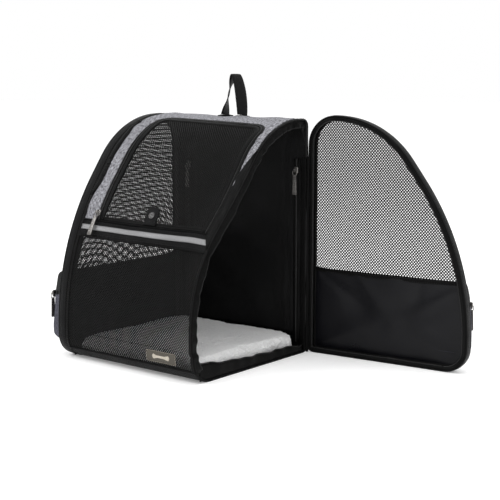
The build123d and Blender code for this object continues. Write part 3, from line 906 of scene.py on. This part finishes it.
def door_matrix(side):
    """Where a door stands: mirrored for the left one, swung open for the right one."""
    lifted = Matrix.Translation((0, 0, door_lift))
    if side < 0:
        return lifted @ Matrix.Diagonal((-1, 1, 1, 1))
    swing = Matrix.Rotation(door_open, 4, "Z")
    return Matrix.Translation(hinge) @ swing @ Matrix.Translation(-hinge) @ lifted


def placed(points, side):
    return moved(points, door_matrix(side))


def outwards(points, side, sign=1.0):
    """The direction out of a placed door, or into it, at each point."""
    return facing(points, 0, sign) @ np.array(door_matrix(side))[:3, :3].T


def door_ring(u, section):
    """Rings round a door's outline. Section is a list of inset and x."""
    columns = []
    for inset, x in section:
        y, z = on_outline(firm_rim, round(inset, 6), door_corner, u)
        columns.append(np.stack((0 * y + x, y, z), -1))
    return np.stack(columns, 1)


def even_ring(count, inset=0.0015):
    """Values of u evenly spaced round a door."""
    table = outline(firm_rim, inset, door_corner)
    run = walked(table)
    return np.interp(np.linspace(0, run[-1], count, endpoint=False), run, U_TABLE)


def door_span(z, inset):
    """The front and back y of a door's outline at a height."""
    table = outline(firm_rim, inset, door_corner)
    rise = U_TABLE <= TOP
    fall = (U_TABLE >= CORNER) & (U_TABLE <= BASE)
    front = np.interp(z, table[rise, 1], table[rise, 0])
    back = np.interp(-np.asarray(z), -table[fall, 1], table[fall, 0])
    return front, back


def build_door(side, name):
    on = f"door_{name}"
    u = even_ring(360)
    mid = (door_inner + door_outer) / 2
    run = np.linspace(0, 1, len(u), endpoint=False)
    gusset = door_ring(u, [(0.0004, door_inner + 0.0006), (-0.0006, door_inner + 0.004), (-0.0011, mid),
                           (-0.0006, door_outer - 0.004), (0.0004, door_outer - 0.0004),
                           (0.0026, door_outer - 0.0006), (0.0022, mid), (0.0026, door_inner + 0.0008)])
    ripple = np.stack([soft_noise(run + shift, 0 * run, 0.06, 31) for shift in np.linspace(0, 0.01, 8)], 1)
    gusset[..., 0] += 0.0004 * ripple
    piece = tube(f"gusset_cloth_{name}", placed(gusset, side), "black_nylon", closed=True)
    settle(piece, on, "binding", f"gusset_{name}")
    declare_sheet(piece, door_outer - door_inner)

    for label, x, inset, radius in (("outer", door_outer - 0.0004, 0.0014, 0.0017),
                                    ("rim", door_inner + 0.0022, 0.0012, 0.0019)):
        welt = door_ring(u, circle(radius) + (inset, x))
        piece = tube(f"door_piping_{label}_{name}", placed(welt, side), "binding", closed=True)
        settle(piece, on, "binding")

    low = cloth * 0.9
    high = cloth + border_width + 0.0004
    face = door_outer
    mid_inset = (low + high) / 2
    border = door_ring(u, [(low, face - 0.0030), (low, face - 0.0006), (low + 0.002, face + 0.0002),
                           (mid_inset, face + 0.0006), (high - 0.002, face + 0.0001), (high, face - 0.0007),
                           (high, face - 0.0021), (high - 0.002, face - 0.0030), (mid_inset, face - 0.0034),
                           (low + 0.002, face - 0.0031)])
    piece = tube(f"door_border_cloth_{name}", placed(border, side), "binding", closed=True)
    settle(piece, on, "binding", f"door_border_{name}")
    for label, x, away in (("in", face - 0.0031, -1), ("out", face + 0.0002, 1)):
        line = door_ring(even_ring(300), [(high - 0.0022, x)])[:, 0]
        sewn = stitches(f"door_stitches_{label}_{name}", placed(line, side), outwards(line, side, away))
        settle(sewn, on, "binding")

    lip = np.linspace(0, 1, 7)
    wave = soft_noise(run, 0 * run, 0.08, 40 + side) + 0.5 * soft_noise(run, 0 * run, 0.03, 44 + side)
    tape = door_ring(u, [(0.0030, door_inner + 0.0060), (0.0030, door_inner + 0.0035)]
                     + [(0.0030 + 0.0055 * share, door_inner + 0.001) for share in np.linspace(0, 1, 5)])
    tape[..., 0] += np.abs(wave[:, None]) * 0.0010 * lip[None, :]
    out = outwards(tape, side, -1)
    piece = slab(f"door_tape_{name}", placed(tape, side), out, 0.0009, "zip_tape", closed=True)
    settle(piece, on, "zip_tape", f"door_zip_{name}")
    declare_sheet(piece, tape_depth)
    path = placed(tape[:, -1], side)
    inwards = unit(path - placed(tape[:, -2], side))
    settle(zip_coil(f"door_teeth_{name}", path, out[:, -1], inwards), on, "zip_tape")

    mid_x = face - 0.0015

    def keep(a, b):
        front, back = door_span(b, cloth + border_width - 0.002)
        top = height - (cloth + border_width - 0.002)
        return (a > front) & (a < back) & (b > split_height(a) - 0.001) & (b < top)

    def place(a, b, lift):
        bulge = 0.0012 * soft_noise(a, b, 0.12, 50 + side)
        return placed(np.stack((mid_x + lift + bulge, a, b), -1), side)

    net = netting(f"door_netting_{name}", (-half_depth, net_split - 0.01), (half_depth, height), keep, place,
                  DOOR_PITCH)
    settle(net, on, "net", f"door_net_{name}")
    declare_sheet(net)
    build_nylon(side, name, mid_x)
    build_pocket(side, name)


def split_height(y):
    """Where the net meets the nylon panel: a seam that dips a little between its ends."""
    return net_split - 0.0025 + 0.004 * (y / half_depth) ** 2


def build_nylon(side, name, mid_x):
    """The nylon lower half of a door, cut a little large so that it wrinkles."""
    on = f"door_{name}"
    inset = cloth + border_width - 0.003
    across = np.linspace(0, 1, 71)
    up = np.linspace(0, 1, 39)
    low = outline(firm_rim, inset, door_corner)[0, 1]
    rows = []
    for share in up:
        z = low + share * (split_height(0) + 0.003 - low)
        front, back = door_span(z, inset)
        y = front + across * (back - front)
        rows.append(np.stack((0 * y + mid_x, y, z + share * (split_height(y) - split_height(0))), -1))
    flat = np.stack(rows)
    piece = slab_sheet(f"door_nylon_{name}", flat, side)
    settle(piece, on, "black_nylon", f"door_panel_{name}")
    declare_sheet(piece)
    ys = np.linspace(*door_span(net_split, inset), 80)
    hem = rounded_loop(0.0035, 0.0012)
    path = np.stack((0 * ys + mid_x, ys, split_height(ys) - 0.001), -1)
    welt = placed(swept(path, hem, (0, 0, 1), (1, 0, 0)), side)
    settle(tube(f"door_seam_{name}", welt, "binding"), on, "binding")
    for label, away in (("in", -1), ("out", 1)):
        line = path + (away * 0.0012, 0, -0.0018)
        sewn = stitches(f"seam_stitches_{label}_{name}", placed(line, side), outwards(line, side, away))
        settle(sewn, on, "binding")


# Soft folds of a door's nylon, from a corner or a seam towards the middle, and their depths
CREASES = (
    ((0.128, 0.140), (0.015, 0.070), 1.0),
    ((-0.120, 0.132), (-0.020, 0.072), -0.9),
    ((-0.125, 0.018), (-0.030, 0.062), 0.8),
    ((0.132, 0.016), (0.035, 0.060), -0.8),
    ((0.060, 0.145), (0.010, 0.085), -0.7),
    ((-0.060, 0.145), (-0.045, 0.090), 0.7),
)


def slab_sheet(name, flat, side):
    """Wrinkles a flat panel that is held round its edge, and gives it a thickness."""
    y = flat[..., 1]
    z = flat[..., 2]
    rows, columns = y.shape
    i, j = np.meshgrid(np.linspace(0, 1, rows), np.linspace(0, 1, columns), indexing="ij")
    edge = np.minimum(np.minimum(i, 1 - i) * 2.2, np.minimum(j, 1 - j) * 4.0)
    held = np.clip(edge, 0, 1) ** 0.6
    depth = 0 * y
    for (y0, z0), (y1, z1), size in CREASES:
        ahead = np.array((y1 - y0, z1 - z0))
        share = np.clip(((y - y0) * ahead[0] + (z - z0) * ahead[1]) / (ahead @ ahead), 0, 1)
        away = np.hypot(y - y0 - share * ahead[0], z - z0 - share * ahead[1])
        depth += size * bell(away, 0.006 + 0.012 * share) * (1 - 0.6 * share)
    depth = 0.0040 * depth + 0.0016 * soft_noise(y, z, 0.10, 66 + side)
    bent = flat.copy()
    bent[..., 0] += depth * held
    return slab(name, placed(bent, side), outwards(bent, side), 0.0008, "door_nylon")


def build_pocket(side, name):
    """A pouch on the door's outer face: grey cloth under its zip and black above it."""
    on = f"door_{name}"
    inset = 0.002
    zip_z = 0.108
    depth = pocket_outer - door_outer
    heights = np.linspace(pocket_low, pocket_high, 61)
    across = np.linspace(0, 1, 81)
    rows = []
    for z in heights:
        front, back = door_span(z, inset)
        y = front + across * (back - front)
        from_side = np.minimum(y - front, back - y)
        from_end = min(z - pocket_low, pocket_high - z)
        rise = np.clip(from_side / 0.008, 0, 1), min(from_end / 0.012, 1)
        dome = (1 - (1 - rise[0]) ** 2.4) ** 0.5 * (1 - (1 - rise[1]) ** 2.4) ** 0.5
        slack = 0.0016 * (1 - 0.85 * bell(z - zip_z, 0.016))
        sag = slack * soft_noise(y, 0 * y + z, 0.07, 70 + side) - 0.001
        rows.append(np.stack((door_outer + 0.0004 + dome * (depth + sag - 0.0004), y, 0 * y + z), -1))
    grid = np.stack(rows)
    out = outwards(grid, side)
    split = int(np.argmin(np.abs(heights - zip_z)))
    # The grey cloth under the zip is the heather cloth with painted shade darkening it.
    for label, part, look, slot in (("low", slice(0, split + 1), "pocket_heather_painted_shade", "heather_cloth"),
                                    ("high", slice(split, None), "black_nylon", "black_nylon")):
        piece = slab(f"pocket_{label}_{name}", placed(grid[part], side), out[part], 0.0015, look)
        settle(piece, on, slot, *([f"pocket_{name}"] if label == "low" else []))
        declare_sheet(piece)
    y = np.linspace(-0.1435, 0.1435, 60)
    hem = rounded_loop(0.0055, 0.0008)
    row = grid[split]
    x = np.interp(y, row[:, 1], row[:, 0]) + 0.0004
    path = np.stack((x, y, 0 * y + zip_z), -1)
    tape = placed(swept(path, hem, (0, 0, 1), (1, 0, 0)), side)
    settle(tube(f"pocket_tape_{name}", tape, "zip_tape"), on, "zip_tape", f"pocket_zip_{name}")
    coil = zip_coil(f"pocket_teeth_{name}", placed(path + (0.0011, 0, 0), side), outwards(path, side),
                    facing(path, 2), radius=0.0018)
    settle(coil, on, "zip_tape")


# Metal


def local_frame(joint, pull):
    """The frame of a slider, worked out from its pull's joint: x along the pin and y up the zip."""
    pin = Vector(joints[joint]["pos_m"])
    across = -Vector(joints[joint]["axis"]).normalized()
    low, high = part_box(pull)
    up = (pin - (low + high) / 2).normalized()
    out = across.cross(up).normalized()
    up = out.cross(across)
    made = Matrix((across, up, out)).transposed().to_4x4()
    made.translation = pin
    return made


def loft_shape(name, sections, place, look, closed=False):
    """Joins closed sections, given as lists of local points, into one solid."""
    return tube(name, moved(np.array(sections, float), place), look, closed)


def rounded_outline(half_x, half_y, corner, steps=4):
    angles = np.linspace(0, pi / 2, steps + 1)
    points = []
    for turn, (sx, sy) in enumerate(((1, 1), (-1, 1), (-1, -1), (1, -1))):
        for a in angles + turn * pi / 2:
            points.append((sx * (half_x - corner) + corner * cos(a),
                           sy * (half_y - corner) + corner * sin(a)))
    return points


def build_slider(name, joint, pull, on):
    """A zip slider: a domed shield with a bridge that the pull hangs from."""
    place = local_frame(joint, pull)
    base = -0.0054
    levels = ((0.0, 0.90), (0.0004, 1.0), (0.0016, 1.0), (0.0024, 0.88), (0.0030, 0.66))
    sections = []
    for z, share in levels:
        ring = rounded_outline(0.0045 * share, 0.006 * share, 0.0022 * share)
        sections.append([(x * (1 - 12 * max(-y, 0)), y, base + z) for x, y in ring])
    shield = loft_shape(name, sections, place, "gunmetal")
    arc = np.linspace(0, pi, 13)
    centre = np.stack((0 * arc, 0.0036 * np.cos(arc), base + 0.0026 + 0.0047 * np.sin(arc) ** 0.8), -1)
    beside = np.array((1.0, 0, 0))
    rise = np.cross(unit(np.gradient(centre, axis=0)), beside)
    bridge = swept(centre, rounded_loop(0.0014, 0.00045), beside, rise)
    bridge = loft_shape(name + "_bridge", bridge, place, "gunmetal")
    settle(merged(name, [shield, bridge]), on, "gunmetal", pull.replace("pull", "slider"))


def build_pull(name, joint, node_name):
    """A zip pull: a wire loop through the bridge and a waisted tab with a raised rim."""
    place = local_frame(joint, node_name)
    angle = np.linspace(0, tau, 28, endpoint=False)
    ring = np.stack((0.0042 * np.sign(np.cos(angle)) * np.abs(np.cos(angle)) ** 0.7,
                     -0.0048 + 0.0052 * np.sin(angle), 0 * angle), -1)
    out = np.array((0, 0, 1.0))
    beside = np.cross(unit(np.roll(ring, -1, 0) - np.roll(ring, 1, 0)), out)
    wire = loft_shape(name, swept(ring, circle(0.0008), beside, out), place, "gunmetal", closed=True)
    top, low = -0.0092, -0.0432  # the tab's ends, measured from the pin
    half = (top - low) / 2
    middle = (top + low) / 2
    sections = []
    for z, share in ((-0.0009, 0.86), (-0.0006, 1.0), (0.0006, 1.0), (0.0009, 0.86)):
        edge = rounded_outline(0.0046 * share, half - (1 - share) * 0.0046, 0.0017)
        sections.append([(x * (0.72 + 0.28 * min(1, abs(y - half) / (1.4 * half))), y + middle, z)
                         for x, y in edge])
    tab = loft_shape(name + "_tab", sections, place, "gunmetal")
    rib = [[(x, y + middle - 0.0015, z) for x, y in rounded_outline(0.0040 * share, half * share, 0.0010)]
           for z, share in ((0.0006, 0.70), (0.0013, 0.60), (0.0013, 0.50), (0.0007, 0.44))]
    rib = loft_shape(name + "_rib", rib, place, "gunmetal")
    neck = [[(x, y + top, z) for x, y in rounded_outline(0.0019 * share, 0.0014, 0.0006)]
            for z, share in ((-0.0015, 0.8), (-0.0011, 1), (0.0011, 1), (0.0015, 0.8))]
    neck = loft_shape(name + "_neck", neck, place, "gunmetal")
    settle(sharpen(merged(name, [wire, tab, rib, neck])), node_name, "gunmetal", node_name)


def build_metal():
    build_slider("window_zip_slider", "window_pull_swing", "window_pull", "bag")
    build_pull("window_zip_pull", "window_pull_swing", "window_pull")
    for _, name in SIDES:
        for kind in ("pocket", "hinge"):
            node_name = f"{kind}_pull_{name}"
            joint = f"{kind}_pull_{name}_swing"
            build_slider(f"{kind}_zip_slider_{name}", joint, node_name, f"{kind}_slider_{name}")
            build_pull(f"{kind}_zip_pull_{name}", joint, node_name)


# Small trim


def tab_frame():
    """The snap tab's own frame on the flap's hem: x along the hem and y up the net."""
    origin = Vector(joints["snap_tab_hinge"]["pos_m"])
    x = float(origin.x)
    _, normal = body(x, float(u_at(x, origin.z)))
    out = Vector(normal)
    across = Vector((1, 0, 0))
    across = (across - across.project(out)).normalized()
    made = Matrix((across, out.cross(across), out)).transposed().to_4x4()
    made.translation = origin
    return made


def build_trim():
    place = tab_frame()
    sections = []
    for z, grow in ((0.0001, -0.0006), (0.0005, 0), (0.0018, 0), (0.0024, -0.0008)):
        half = 0.013 + grow
        top = 0.032 + grow
        cut = 0.005
        low = -0.001 - grow
        waist = (low + top) / 2
        sections.append([(half, low, z), (half, waist, z), (half, top - cut, z), (half - cut, top, z),
                         (0, top + 0.0004, z), (cut - half, top, z), (-half, top - cut, z),
                         (-half, waist, z), (-half, low, z), (0, low, z)])
    tab = loft_shape("snap_tab_cloth", sections, place, "black_nylon")
    settle(sharpen(tab, 50), "snap_tab", "black_nylon", "snap_tab")
    corners = [(0.0115, 0.002), (0.0115, 0.0255), (0.0075, 0.0303), (-0.0075, 0.0303), (-0.0115, 0.0255),
               (-0.0115, 0.002)]
    path = through([(x, y, 0.0024) for x, y in corners], 8)
    out = np.tile(np.array(place)[:3, 2], (len(path), 1))
    settle(stitches("tab_stitches", moved(path, place), out), "snap_tab", "black_nylon")
    profile = ((0.0001, 0.0058), (0.0012, 0.0061), (0.0021, 0.0054), (0.0021, 0.0045), (0.0008, 0.0038),
               (0.0006, 0.0030), (0.0008, 0.0022), (0.0016, 0.0016), (0.0019, 0.0003))
    cap = [[(x, 0.016 + y, 0.0021 + z) for x, y in circle(r, 32)] for z, r in profile]
    settle(loft_shape("snap_cap_metal", cap, place, "snap_metal"), "snap_tab", "snap_metal", "snap_cap")

    low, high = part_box("label_patch")
    xs = np.linspace(low.x, high.x, 25)
    points, normals = body_grid(xs, level(low.z), level(high.z), 9, 0.0014)
    settle(slab("label_cloth", points, normals, 0.0010, "label"), "bag", "label", "label_patch")
    edge, up = (np.vstack((rows[0], rows[:, -1], rows[-1, ::-1], rows[::-1, 0]))
                for rows in (points, normals))
    edge = edge * 0.999 + edge.mean(0) * 0.001
    settle(stitches("label_stitches", edge, up, "label_motif"), "bag", "label")
    middle_x = (low.x + high.x) / 2
    middle_z = (low.z + high.z) / 2
    angle = np.linspace(0, tau, 96, endpoint=False)
    across = 0.019 * np.cos(angle)
    ends = bell(np.abs(np.cos(angle)) - 0.86, 0.17)
    waist = 0.0020 + 0.0030 * ends - 0.0016 * bell(np.abs(np.cos(angle)) - 1.0, 0.05)
    upright = waist * np.sign(np.sin(angle)) * np.abs(np.sin(angle)) ** 0.35
    rings = []
    for lift, share in ((0.0013, 1.0), (0.0019, 0.97), (0.0021, 0.7), (0.0021, 0.02)):
        x = middle_x + across * share
        z = middle_z + upright * share
        rings.append(body(x, u_at(x, z), lift)[0])
    settle(tube("label_bone", np.stack(rings), "label_motif"), "bag", "label")


# Inside


def inflate(piece, pressure, cap, voxel=0.005, frames=18):
    """Blows a closed form up as cloth, moves no point further than cap, and smooths it."""
    remesh = piece.modifiers.new("remesh", "REMESH")
    remesh.mode = "VOXEL"
    remesh.voxel_size = voxel
    remesh.use_smooth_shade = True
    bake(piece)
    start = np.array([v.co for v in piece.data.vertices])
    cloth_sim = piece.modifiers.new("cloth", "CLOTH")
    cloth_sim.settings.use_pressure = True
    cloth_sim.settings.uniform_pressure_force = pressure
    cloth_sim.settings.quality = 5
    cloth_sim.settings.effector_weights.gravity = 0
    cloth_sim.point_cache.frame_end = frames
    for step in range(1, frames + 1):
        bpy.context.scene.frame_set(step)
    bake(piece)
    bpy.context.scene.frame_set(1)
    shift = np.array([v.co for v in piece.data.vertices]) - start
    far = np.linalg.norm(shift, axis=1, keepdims=True)
    shift *= np.minimum(1, cap / np.maximum(far, 1e-9))
    piece.data.vertices.foreach_set("co", (start + shift).ravel())
    return piece


def bake(piece):
    """Applies every modifier of a piece to its mesh."""
    graph = bpy.context.evaluated_depsgraph_get()
    mesh = bpy.data.meshes.new_from_object(piece.evaluated_get(graph))
    piece.modifiers.clear()
    piece.data = mesh
    return piece


def subdivide(piece, levels=1):
    piece.modifiers.new("smooth", "SUBSURF").levels = levels
    return bake(piece)


def build_inside():
    low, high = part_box("fleece_pad")
    middle = (low + high) / 2
    size = (high - low) / 2
    rings = []
    for share, grow in ((0.0, -0.006), (0.12, 0.0), (0.66, 0.0), (0.86, -0.003), (0.97, -0.012)):
        ring = rounded_outline(size.x - 0.001 + grow, size.y - 0.001 + grow, 0.030 + grow / 2, 6)
        rings.append([(x + middle.x, y + middle.y, low.z + 2 * size.z * share) for x, y in ring])
    pad = loft_shape("fleece_cushion", rings, Matrix(), "fleece")
    inflate(pad, 3.0, 0.006)
    subdivide(pad)
    points = np.array([v.co for v in pad.data.vertices])
    normals = np.array([v.normal for v in pad.data.vertices])
    curls = np.array([noise.voronoi(Vector(p) * 150)[0][0] for p in points])
    tufts = np.array([noise.noise(Vector(p) * 90) for p in points])
    points += normals * (0.0034 * (0.5 - curls) + 0.0020 * tufts)[:, None]
    from_edge = np.minimum(size.x - np.abs(points[:, 0] - middle.x), size.y - np.abs(points[:, 1] - middle.y))
    on_top = np.clip((points[:, 2] - middle.z) / size.z, 0, 1)
    points[:, 2] -= 0.006 * on_top * np.clip((from_edge - 0.02) / 0.04, 0, 1)
    points[:, 2] = np.clip(points[:, 2], low.z - 0.0002, high.z + 0.002)
    turn = foot_radius - cloth - 0.0006
    reach = np.sqrt(turn**2 - np.clip(foot_radius - points[:, 2], 0, turn) ** 2)
    points[:, 1] = np.maximum(points[:, 1], foot_radius - half_depth - reach)
    pad.data.vertices.foreach_set("co", points.ravel())
    pad.data.update()
    settle(pad, "bag", "fleece", "fleece_pad")
    for _, name in SIDES:
        tape_low, tape_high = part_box(f"hinge_zip_{name}")
        z = np.linspace(tape_low.z, tape_high.z, 60)
        x = (tape_low.x + tape_high.x) / 2
        path = np.stack((0 * z + x, 0 * z + tape_low.y + 0.0008, z), -1)
        tape = swept(path, rounded_loop(0.0068, 0.0006), (1, 0, 0), (0, 1, 0))
        settle(tube(f"hinge_tape_{name}", tape, "zip_tape"), "bag", "zip_tape", f"hinge_zip_{name}")
        coil = zip_coil(f"hinge_teeth_{name}", path - (0, 0.0006, 0), facing(path, 1, -1), facing(path, 0),
                        radius=0.0022)
        settle(coil, "bag", "zip_tape")


# Handle, straps and the padded back


def strap_path(centre, across, half, thick, name):
    """A flat strap of webbing swept along a centreline, lying across the given directions."""
    ahead = unit(np.gradient(centre, axis=0))
    across = unit(across - (across * ahead).sum(1, keepdims=True) * ahead)
    loop = rounded_loop(half, thick / 2)
    return tube(name, swept(centre, loop, across, np.cross(across, ahead)), "webbing")


def build_handle():
    low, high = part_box("handle")
    foot = low.z + 0.0006
    half = 0.020
    handle_half = 0.0125
    handle_thick = 0.0022
    t = np.linspace(0, 1, 61)
    angle = pi * t
    y = (low.y + high.y) / 2
    rise = high.z - foot - 0.0015
    across = -np.cos(angle)
    x = half * across + 0.003 * (1 - across**2)
    z = foot + rise * np.abs(1 - np.abs(across) ** 1.45) ** 0.72
    centre = np.stack((x, 0 * t + y + 0.002 * np.sin(angle), z), -1)
    twist = radians(12) * bell(t - 0.78, 0.2) - radians(44) * bell(t - 0.26, 0.13) - radians(4) * bell(t, 0.2)
    across = np.stack((np.sin(twist), np.cos(twist), 0 * t), -1)
    loop = strap_path(centre, across, handle_half, handle_thick, "handle_webbing")
    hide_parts("handle")
    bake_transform(loop)
    for side, name in SIDES:
        xs = side * np.linspace(0.011, 0.027, 12)
        points = np.stack((xs, 0 * xs + y, [top_height(px, y) + 0.0016 for px in xs]), -1)
        foot_piece = strap_path(points, facing(points, 1), handle_half, handle_thick, f"handle_foot_{name}")
        settle(foot_piece, "bag", "webbing", *(["handle_anchors"] if side < 0 else []))
        box = [(0.1, -0.8), (0.9, -0.8), (0.9, 0.8), (0.1, 0.8), (0.1, -0.8), (0.9, 0.8)]
        a, b = through(box, 9).T
        px = side * (0.013 + 0.012 * a)
        py = y + handle_half * b
        line = np.stack((px, py, [top_height(*at) + 0.0028 for at in zip(px, py)]), -1)
        settle(stitches(f"handle_stitches_{name}", line, facing(line, 2)), "bag", "webbing")


def top_height(x, y):
    """The height of the body's top at a place in plan."""
    walk = np.linspace(SHOULDER, CORNER, 200)
    points = body(x, walk)[0]
    return float(np.interp(y, points[:, 1], points[:, 2]))


def build_back():
    low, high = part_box("back_pad")
    middle = (low + high) / 2
    half_x = (high.x - low.x) / 2
    half_z = (high.z - low.z) / 2
    a = np.linspace(-1, 1, 81)
    b = np.linspace(-1, 1, 111)
    across, up = np.meshgrid(a, b)
    x = half_x * across
    z = half_z * up
    edge = np.minimum(half_x - np.abs(x), half_z - np.abs(z))
    pillow = (1 - (1 - np.clip(edge / 0.012, 0, 1)) ** 2) ** 0.5
    channel = bell(np.abs((x / 0.058) % 1 - 0.5) - 0.5, 0.06) * 0.6
    channel += bell(np.abs((z / 0.083 + 0.5) % 1 - 0.5) - 0.5, 0.05) * 0.6
    rise = 0.0005 + 0.0058 * pillow * (1 - 0.55 * np.clip(channel, 0, 1))
    squeeze = 1 - 0.03 * np.abs(up) ** 6 * (np.abs(across) ** 6)
    points = np.stack((middle.x + x * squeeze, low.y + rise, middle.z + z * squeeze), -1)
    back = points.copy()
    back[..., 1] = low.y
    pad = tube("back_pad_quilted", np.concatenate((points, back[:, ::-1]), 1), "air_mesh")
    settle(pad, "bag", "air_mesh", "back_pad")
    for side, name in SIDES:
        build_strap(side, name)


def build_strap(side, name):
    """One padded shoulder strap, its ladder lock and the webbing that runs down to the base."""
    low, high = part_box(f"shoulder_strap_{name}")
    t = np.linspace(0, 1, 70)
    z = high.z + (low.z - high.z) * t
    inner = side * np.interp(t, (0, 0.25, 0.5, 0.75, 1), (0.015, 0.0265, 0.042, 0.0605, 0.082))
    outer = side * np.interp(t, (0, 0.25, 0.5, 0.75, 1), (0.075, 0.0930, 0.106, 0.1150, 0.118))
    inner = smoothed(inner, 4)
    outer = smoothed(outer, 4)
    span = np.linspace(0, 1, 15)
    width = outer[:, None] - inner[:, None]
    x = inner[:, None] + width * span
    from_edge = np.minimum(span, 1 - span)[None, :] * np.abs(width)
    ends = np.minimum(t, 1 - t)[:, None] * (high.z - low.z)
    pillow = (1 - (1 - np.clip(from_edge / 0.014, 0, 1)) ** 2) ** 0.5 * np.clip(ends / 0.008, 0.15, 1) ** 0.5
    thick = high.y - low.y
    front = np.stack((x, low.y + thick * (0.35 + 0.65 * pillow), np.broadcast_to(z[:, None], x.shape)), -1)
    back = np.stack((x, low.y + thick * (0.35 - 0.35 * pillow), np.broadcast_to(z[:, None], x.shape)), -1)
    front[..., 1] += 0.0006 * soft_noise(x, front[..., 2], 0.03, 80 + side)
    pad = tube(f"strap_pad_{name}", np.concatenate((front, back[:, ::-1]), 1), "air_mesh")
    settle(pad, "bag", "air_mesh", f"shoulder_strap_{name}")
    for k, share in enumerate((0, 14)):
        line = (front[:, share] + back[:, share]) / 2
        piping = swept(line, circle(0.0016), (1, 0, 0), (0, 1, 0))
        settle(tube(f"strap_piping_{name}_{k}", piping, "binding"), "bag", "binding")
    middle = (inner + outer) / 2
    centre = np.stack((middle, front[:, 7, 1] + 0.0009, z), -1)[4:-2]
    web = strap_path(centre, facing(centre, 0), 0.010, 0.0016, f"strap_web_{name}")
    settle(web, "bag", "webbing")
    for k, shift in enumerate((-0.0075, 0.0075)):
        line = centre + (shift, 0.0008, 0)
        settle(stitches(f"strap_stitches_{name}_{k}", line, facing(line, 1)), "bag", "webbing")
    tail_low, tail_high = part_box(f"strap_webbing_{name}")
    x = (tail_low.x + tail_high.x) / 2
    lock_low, lock_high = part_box(f"ladder_lock_{name}")
    knots_z = (tail_low.z, 0.036, 0.050, 0.066, 0.100, 0.130, tail_high.z)
    sewn = half_depth + 0.0012
    knots_y = (sewn, sewn, sewn + 0.0012, sewn + 0.0046, sewn + 0.0064, sewn + 0.0068, lock_low.y - 0.0012)
    z = np.linspace(tail_low.z, tail_high.z, 50)
    y = smoothed(np.interp(z, knots_z, knots_y), 3)
    centre = np.stack((0 * z + x, y, z), -1)
    tail = strap_path(centre, facing(centre, 0), 0.0125, 0.0018, f"lower_webbing_{name}")
    settle(tail, "bag", "webbing", f"strap_webbing_{name}")
    build_lock(name, lock_low, lock_high)


def build_lock(name, low, high):
    """A moulded ladder lock: a rounded frame with three bars."""
    middle = (low + high) / 2
    half_x = (high.x - low.x) / 2
    half_z = (high.z - low.z) / 2
    half_y = (high.y - low.y) / 2
    ring = np.array(rounded_outline(half_x - 0.0025, half_z - 0.0022, 0.004, 5))
    path = np.column_stack((ring[:, 0], 0 * ring[:, 0], ring[:, 1]))
    beside = np.cross(unit(np.roll(path, -1, 0) - np.roll(path, 1, 0)), (0, 1.0, 0))
    points = swept(path, rounded_loop(0.0026, half_y), beside, (0, 1, 0))
    parts = [tube(f"lock_{name}", points + np.array(middle), "buckle_plastic", closed=True)]
    xs = np.linspace(-half_x + 0.003, half_x - 0.003, 9)
    for z, half in ((0.0, 0.0026), (-0.0022, 0.0018)):
        path = np.stack((xs, 0 * xs, 0 * xs + z), -1)
        bar = swept(path, rounded_loop(half, half_y * 0.8), (0, 0, 1), (0, 1, 0))
        parts.append(tube(f"lock_bar_{name}_{z}", bar + np.array(middle), "buckle_plastic"))
    settle(merged(f"lock_{name}", parts), "bag", "buckle_plastic", f"ladder_lock_{name}")


# Stage, light and camera


def build_stage():
    floor = bpy.data.meshes.new("floor")
    reach = 30
    floor.from_pydata([(-reach, -reach, 0), (reach, -reach, 0), (reach, reach, 0), (-reach, reach, 0)], [],
                      [(0, 1, 2, 3)])
    paper = bpy.data.materials.new("floor_paper")
    paper.use_nodes = True
    surface = paper.node_tree.nodes["Principled BSDF"]
    surface.inputs["Base Color"].default_value = (0.93, 0.93, 0.93, 1)
    surface.inputs["Roughness"].default_value = 0.9
    surface.inputs["Specular IOR Level"].default_value = 0.1
    surface.inputs["Emission Color"].default_value = (1, 1, 1, 1)
    surface.inputs["Emission Strength"].default_value = 0.16
    floor.materials.append(paper)
    made = bpy.data.objects.new("floor", floor)
    bpy.context.scene.collection.objects.link(made)
    world = bpy.data.worlds.new("studio")
    world.use_nodes = True
    world.node_tree.nodes["Background"].inputs["Color"].default_value = (1, 1, 1, 1)
    world.node_tree.nodes["Background"].inputs["Strength"].default_value = 1.0
    bpy.context.scene.world = world
    for name, place, size, power in (("key", (-1.4, -1.9, 2.4), 1.2, 40), ("fill", (2.4, -1.0, 1.5), 1.4, 16),
                                     ("top", (0.3, 0.6, 2.8), 2.0, 30)):
        light = bpy.data.lights.new(name, "AREA")
        light.size = size
        light.energy = power
        lamp = bpy.data.objects.new(name, light)
        lamp.location = place
        lamp.rotation_euler = (Vector((0.1, 0, 0.2)) - lamp.location).to_track_quat("-Z", "Y").to_euler()
        bpy.context.scene.collection.objects.link(lamp)
    view = bpy.data.cameras.new("camera")
    view.lens = 79.9
    view.sensor_width = 36
    camera = bpy.data.objects.new("camera", view)
    camera.location = (1.2911, -1.4249, 0.4682)
    camera.rotation_euler = (pi / 2 - 0.145, 0, 0.6793)
    bpy.context.scene.collection.objects.link(camera)
    bpy.context.scene.camera = camera
    bpy.context.scene.view_settings.view_transform = "Standard"


build_stage()
build_walls()
build_heather()
build_rims()
build_folds()
build_webs()
build_window()
for side, name in SIDES:
    build_door(side, name)
build_metal()
build_trim()
build_inside()
build_handle()
build_back()

cad_looks = {"base_board": "board", "door_hoop_left": "spring_steel", "door_hoop_right": "spring_steel"}
for node_name, look in cad_looks.items():
    materials = frame["nodes"][node_name].data.materials
    materials.clear()
    materials.append(looks[look])
